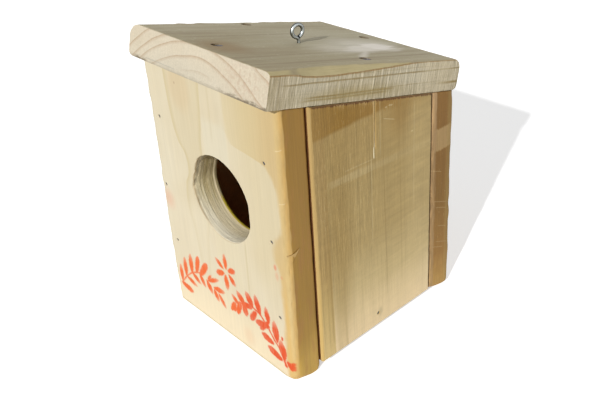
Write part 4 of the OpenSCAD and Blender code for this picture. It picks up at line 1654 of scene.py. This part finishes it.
def screw_piece(name, x, y, turn):
    """A countersunk wood screw with a cross recess."""
    neck = -SCREW_HEAD_R + SCREW_R
    places, thread = threaded(-SCREW_LENGTH + 0.1, -15.0, 1.35, SCREW_R, 2.2, 6.0)
    profile = [(0, -SCREW_LENGTH), *places, (1.55, -14.8), (1.55, neck - 1.6),
               (SCREW_R, neck - 0.6), (SCREW_R, neck), (SCREW_HEAD_R - 0.25, -0.45),
               (SCREW_HEAD_R, -0.28), (SCREW_HEAD_R - 0.06, -0.08),
               (SCREW_HEAD_R - 0.5, 0.0), (0, 0.0)]
    matrix = Matrix.Translation((x, y, roof_top(y) - SCREW_SET)) @ Matrix.Rotation(turn, 4, "Z")
    points, faces = place(lathe(profile, segments=36, wobble=thread), matrix)
    piece = new_object(name + "_crosshead", new_mesh(name, points, faces))
    bar = wedge(2.3, 0.75, 0.7, 0.4, 2.4)
    for quarter in (0, math.pi / 2):
        combine(piece, [place(bar, matrix @ Matrix.Rotation(quarter, 4, "Z"))])
    dress(piece, "screw_steel", name)


for turn, (name, (x, y)) in enumerate(SCREWS.items()):
    screw_piece(name, x, y, math.radians(15 + 33 * turn))


def rounded_route(points, rounds=3):
    """A route with its corners cut again and again."""
    points = np.array(points, float)
    for _ in range(rounds):
        before, after = points[:-1], points[1:]
        inner = np.stack([before * 0.75 + after * 0.25, before * 0.25 + after * 0.75], axis=1)
        points = np.concatenate([points[:1], inner.reshape(-1, 3), points[-1:]])
    return points


RING_SWELL = 0.22  # how much thicker the wire of the ring looks than the shank's


def eye_piece():
    """A bent-wire eye: the wire leaves its shank, goes round and comes back to meet it."""
    ring_r = EYE_INNER_R + EYE_WIRE_R
    route = [(0, 0, -2.0), (0, 0, 0.5), (0.1, 0, EYE_RISE - ring_r - 1.5)]
    for degrees in np.arange(-108, -441, -6.0):
        angle = math.radians(degrees)
        route.append((ring_r * math.cos(angle) - 0.6, 0, EYE_RISE + ring_r * math.sin(angle)))
    route = rounded_route(route, 2)
    radii = np.interp(route[:, 2], [2.5, 4.5], [EYE_WIRE_R, EYE_WIRE_R + RING_SWELL])
    radii[-1] *= 0.8
    wire = sweep(route, radii, segments=22)
    places, thread = threaded(-EYE_DEPTH + 0.1, 2.6, 0.92, EYE_WIRE_R + 0.03, 1.1, 3.5)
    shank = lathe([(0, -EYE_DEPTH), *places, (EYE_WIRE_R - 0.02, 2.7), (0, 2.75)],
                  segments=24, wobble=thread)
    matrix = Matrix.Translation((EYE_X, EYE_Y, roof_top(EYE_Y))) @ Matrix.Rotation(
        EYE_TURN, 4, "Z"
    )
    points, faces = place(shank, matrix)
    piece = new_object("eye_screw_bent_wire", new_mesh("eye_screw_bent_wire", points, faces))
    combine(piece, [place(wire, matrix)], "UNION")
    dress(piece, "zinc", "eye_screw")


eye_piece()


# ---- stage, light and camera -------------------------------------------------


# half the floor's width, in millimetres, and how strongly it glows where it is seen
FLOOR_HALF, FLOOR_GLOW = 4000, 0.5
# the strength of the sky on surfaces; where it is seen it is 1
SKY = 0.35
# the strength of each lamp, its width in the sky in degrees, and the way its light goes
SUN, SUN_WIDTH, SUN_TRAVEL = 3.4, 1.2, Vector((-0.327, 0.809, -0.487))
FILL, FILL_WIDTH, FILL_TRAVEL = 0.8, 60, Vector((0.6, -0.8, -0.05))
# where the camera stands, in metres, how it is turned, in degrees, and its lens,
# as a scratch script fitted them to the box's outline in the photo
CAMERA_PLACE, CAMERA_TURN = (0.40776, -0.26837, 0.40921), (63.4497, 3.3020, 47.5924)
CAMERA_LENS, CAMERA_SHIFT = 47.11, (-0.0017, -0.1)


def seen(graph):
    """1 for what the camera, reflections and glass see, 0 for light on a surface."""
    path = graph.tree.nodes.new("ShaderNodeLightPath")
    rays = [Value(graph, path.outputs[name])
            for name in ("Is Camera Ray", "Is Glossy Ray", "Is Transmission Ray")]
    return rays[0] | rays[1] | rays[2]


def make_floor():
    """A pale floor that is nearly white to the camera and keeps the shadow."""
    corners = [(x * FLOOR_HALF, y * FLOOR_HALF, 0) for x, y in ((-1, -1), (1, -1), (1, 1), (-1, 1))]
    mesh = new_mesh("floor", corners, [(0, 1, 2, 3)])
    plane = new_object("floor", mesh)
    g = Surface("floor")
    material = g.finish((0.80, 0.80, 0.80), 1.0, Specular_IOR_Level=0.0)
    glow = g.node("ShaderNodeEmission", Strength=seen(g) * FLOOR_GLOW)
    both = g.tree.nodes.new("ShaderNodeAddShader")
    g.tree.links.new(g.shader.outputs[0], both.inputs[0])
    g.tree.links.new(glow.socket, both.inputs[1])
    g.tree.links.new(both.outputs[0], g.tree.nodes["Material Output"].inputs["Surface"])
    mesh.materials.append(material)


def make_world():
    """An even sky, white where it is seen."""
    world = bpy.data.worlds.new("studio")
    world.use_nodes = True
    bpy.context.scene.world = world
    g = Graph(world.node_tree)
    background = world.node_tree.nodes["Background"]
    background.inputs["Color"].default_value = (1, 1, 1, 1)
    g.feed(background.inputs["Strength"], SKY + seen(g) * (1 - SKY))


def make_lamp(name, strength, degrees, travel):
    """A distant lamp as wide in the sky as the angle."""
    lamp = bpy.data.lights.new(name, "SUN")
    lamp.energy = strength
    lamp.angle = math.radians(degrees)
    made = bpy.data.objects.new(name, lamp)
    made.rotation_euler = travel.to_track_quat("-Z", "Y").to_euler()
    bpy.context.scene.collection.objects.link(made)


def make_camera():
    """The photo's view of the box; the lens is shifted to frame it as the photo does."""
    lens = bpy.data.cameras.new("camera")
    lens.sensor_width = 36
    lens.lens = CAMERA_LENS
    lens.shift_x, lens.shift_y = CAMERA_SHIFT
    lens.clip_start = 0.01
    camera = bpy.data.objects.new("camera", lens)
    camera.location = CAMERA_PLACE
    camera.rotation_euler = [math.radians(turn) for turn in CAMERA_TURN]
    bpy.context.scene.collection.objects.link(camera)
    bpy.context.scene.camera = camera
    bpy.context.scene.view_settings.view_transform = "Standard"


make_floor()
make_world()
make_lamp("key", SUN, SUN_WIDTH, SUN_TRAVEL)
make_lamp("fill", FILL, FILL_WIDTH, FILL_TRAVEL)
make_camera()
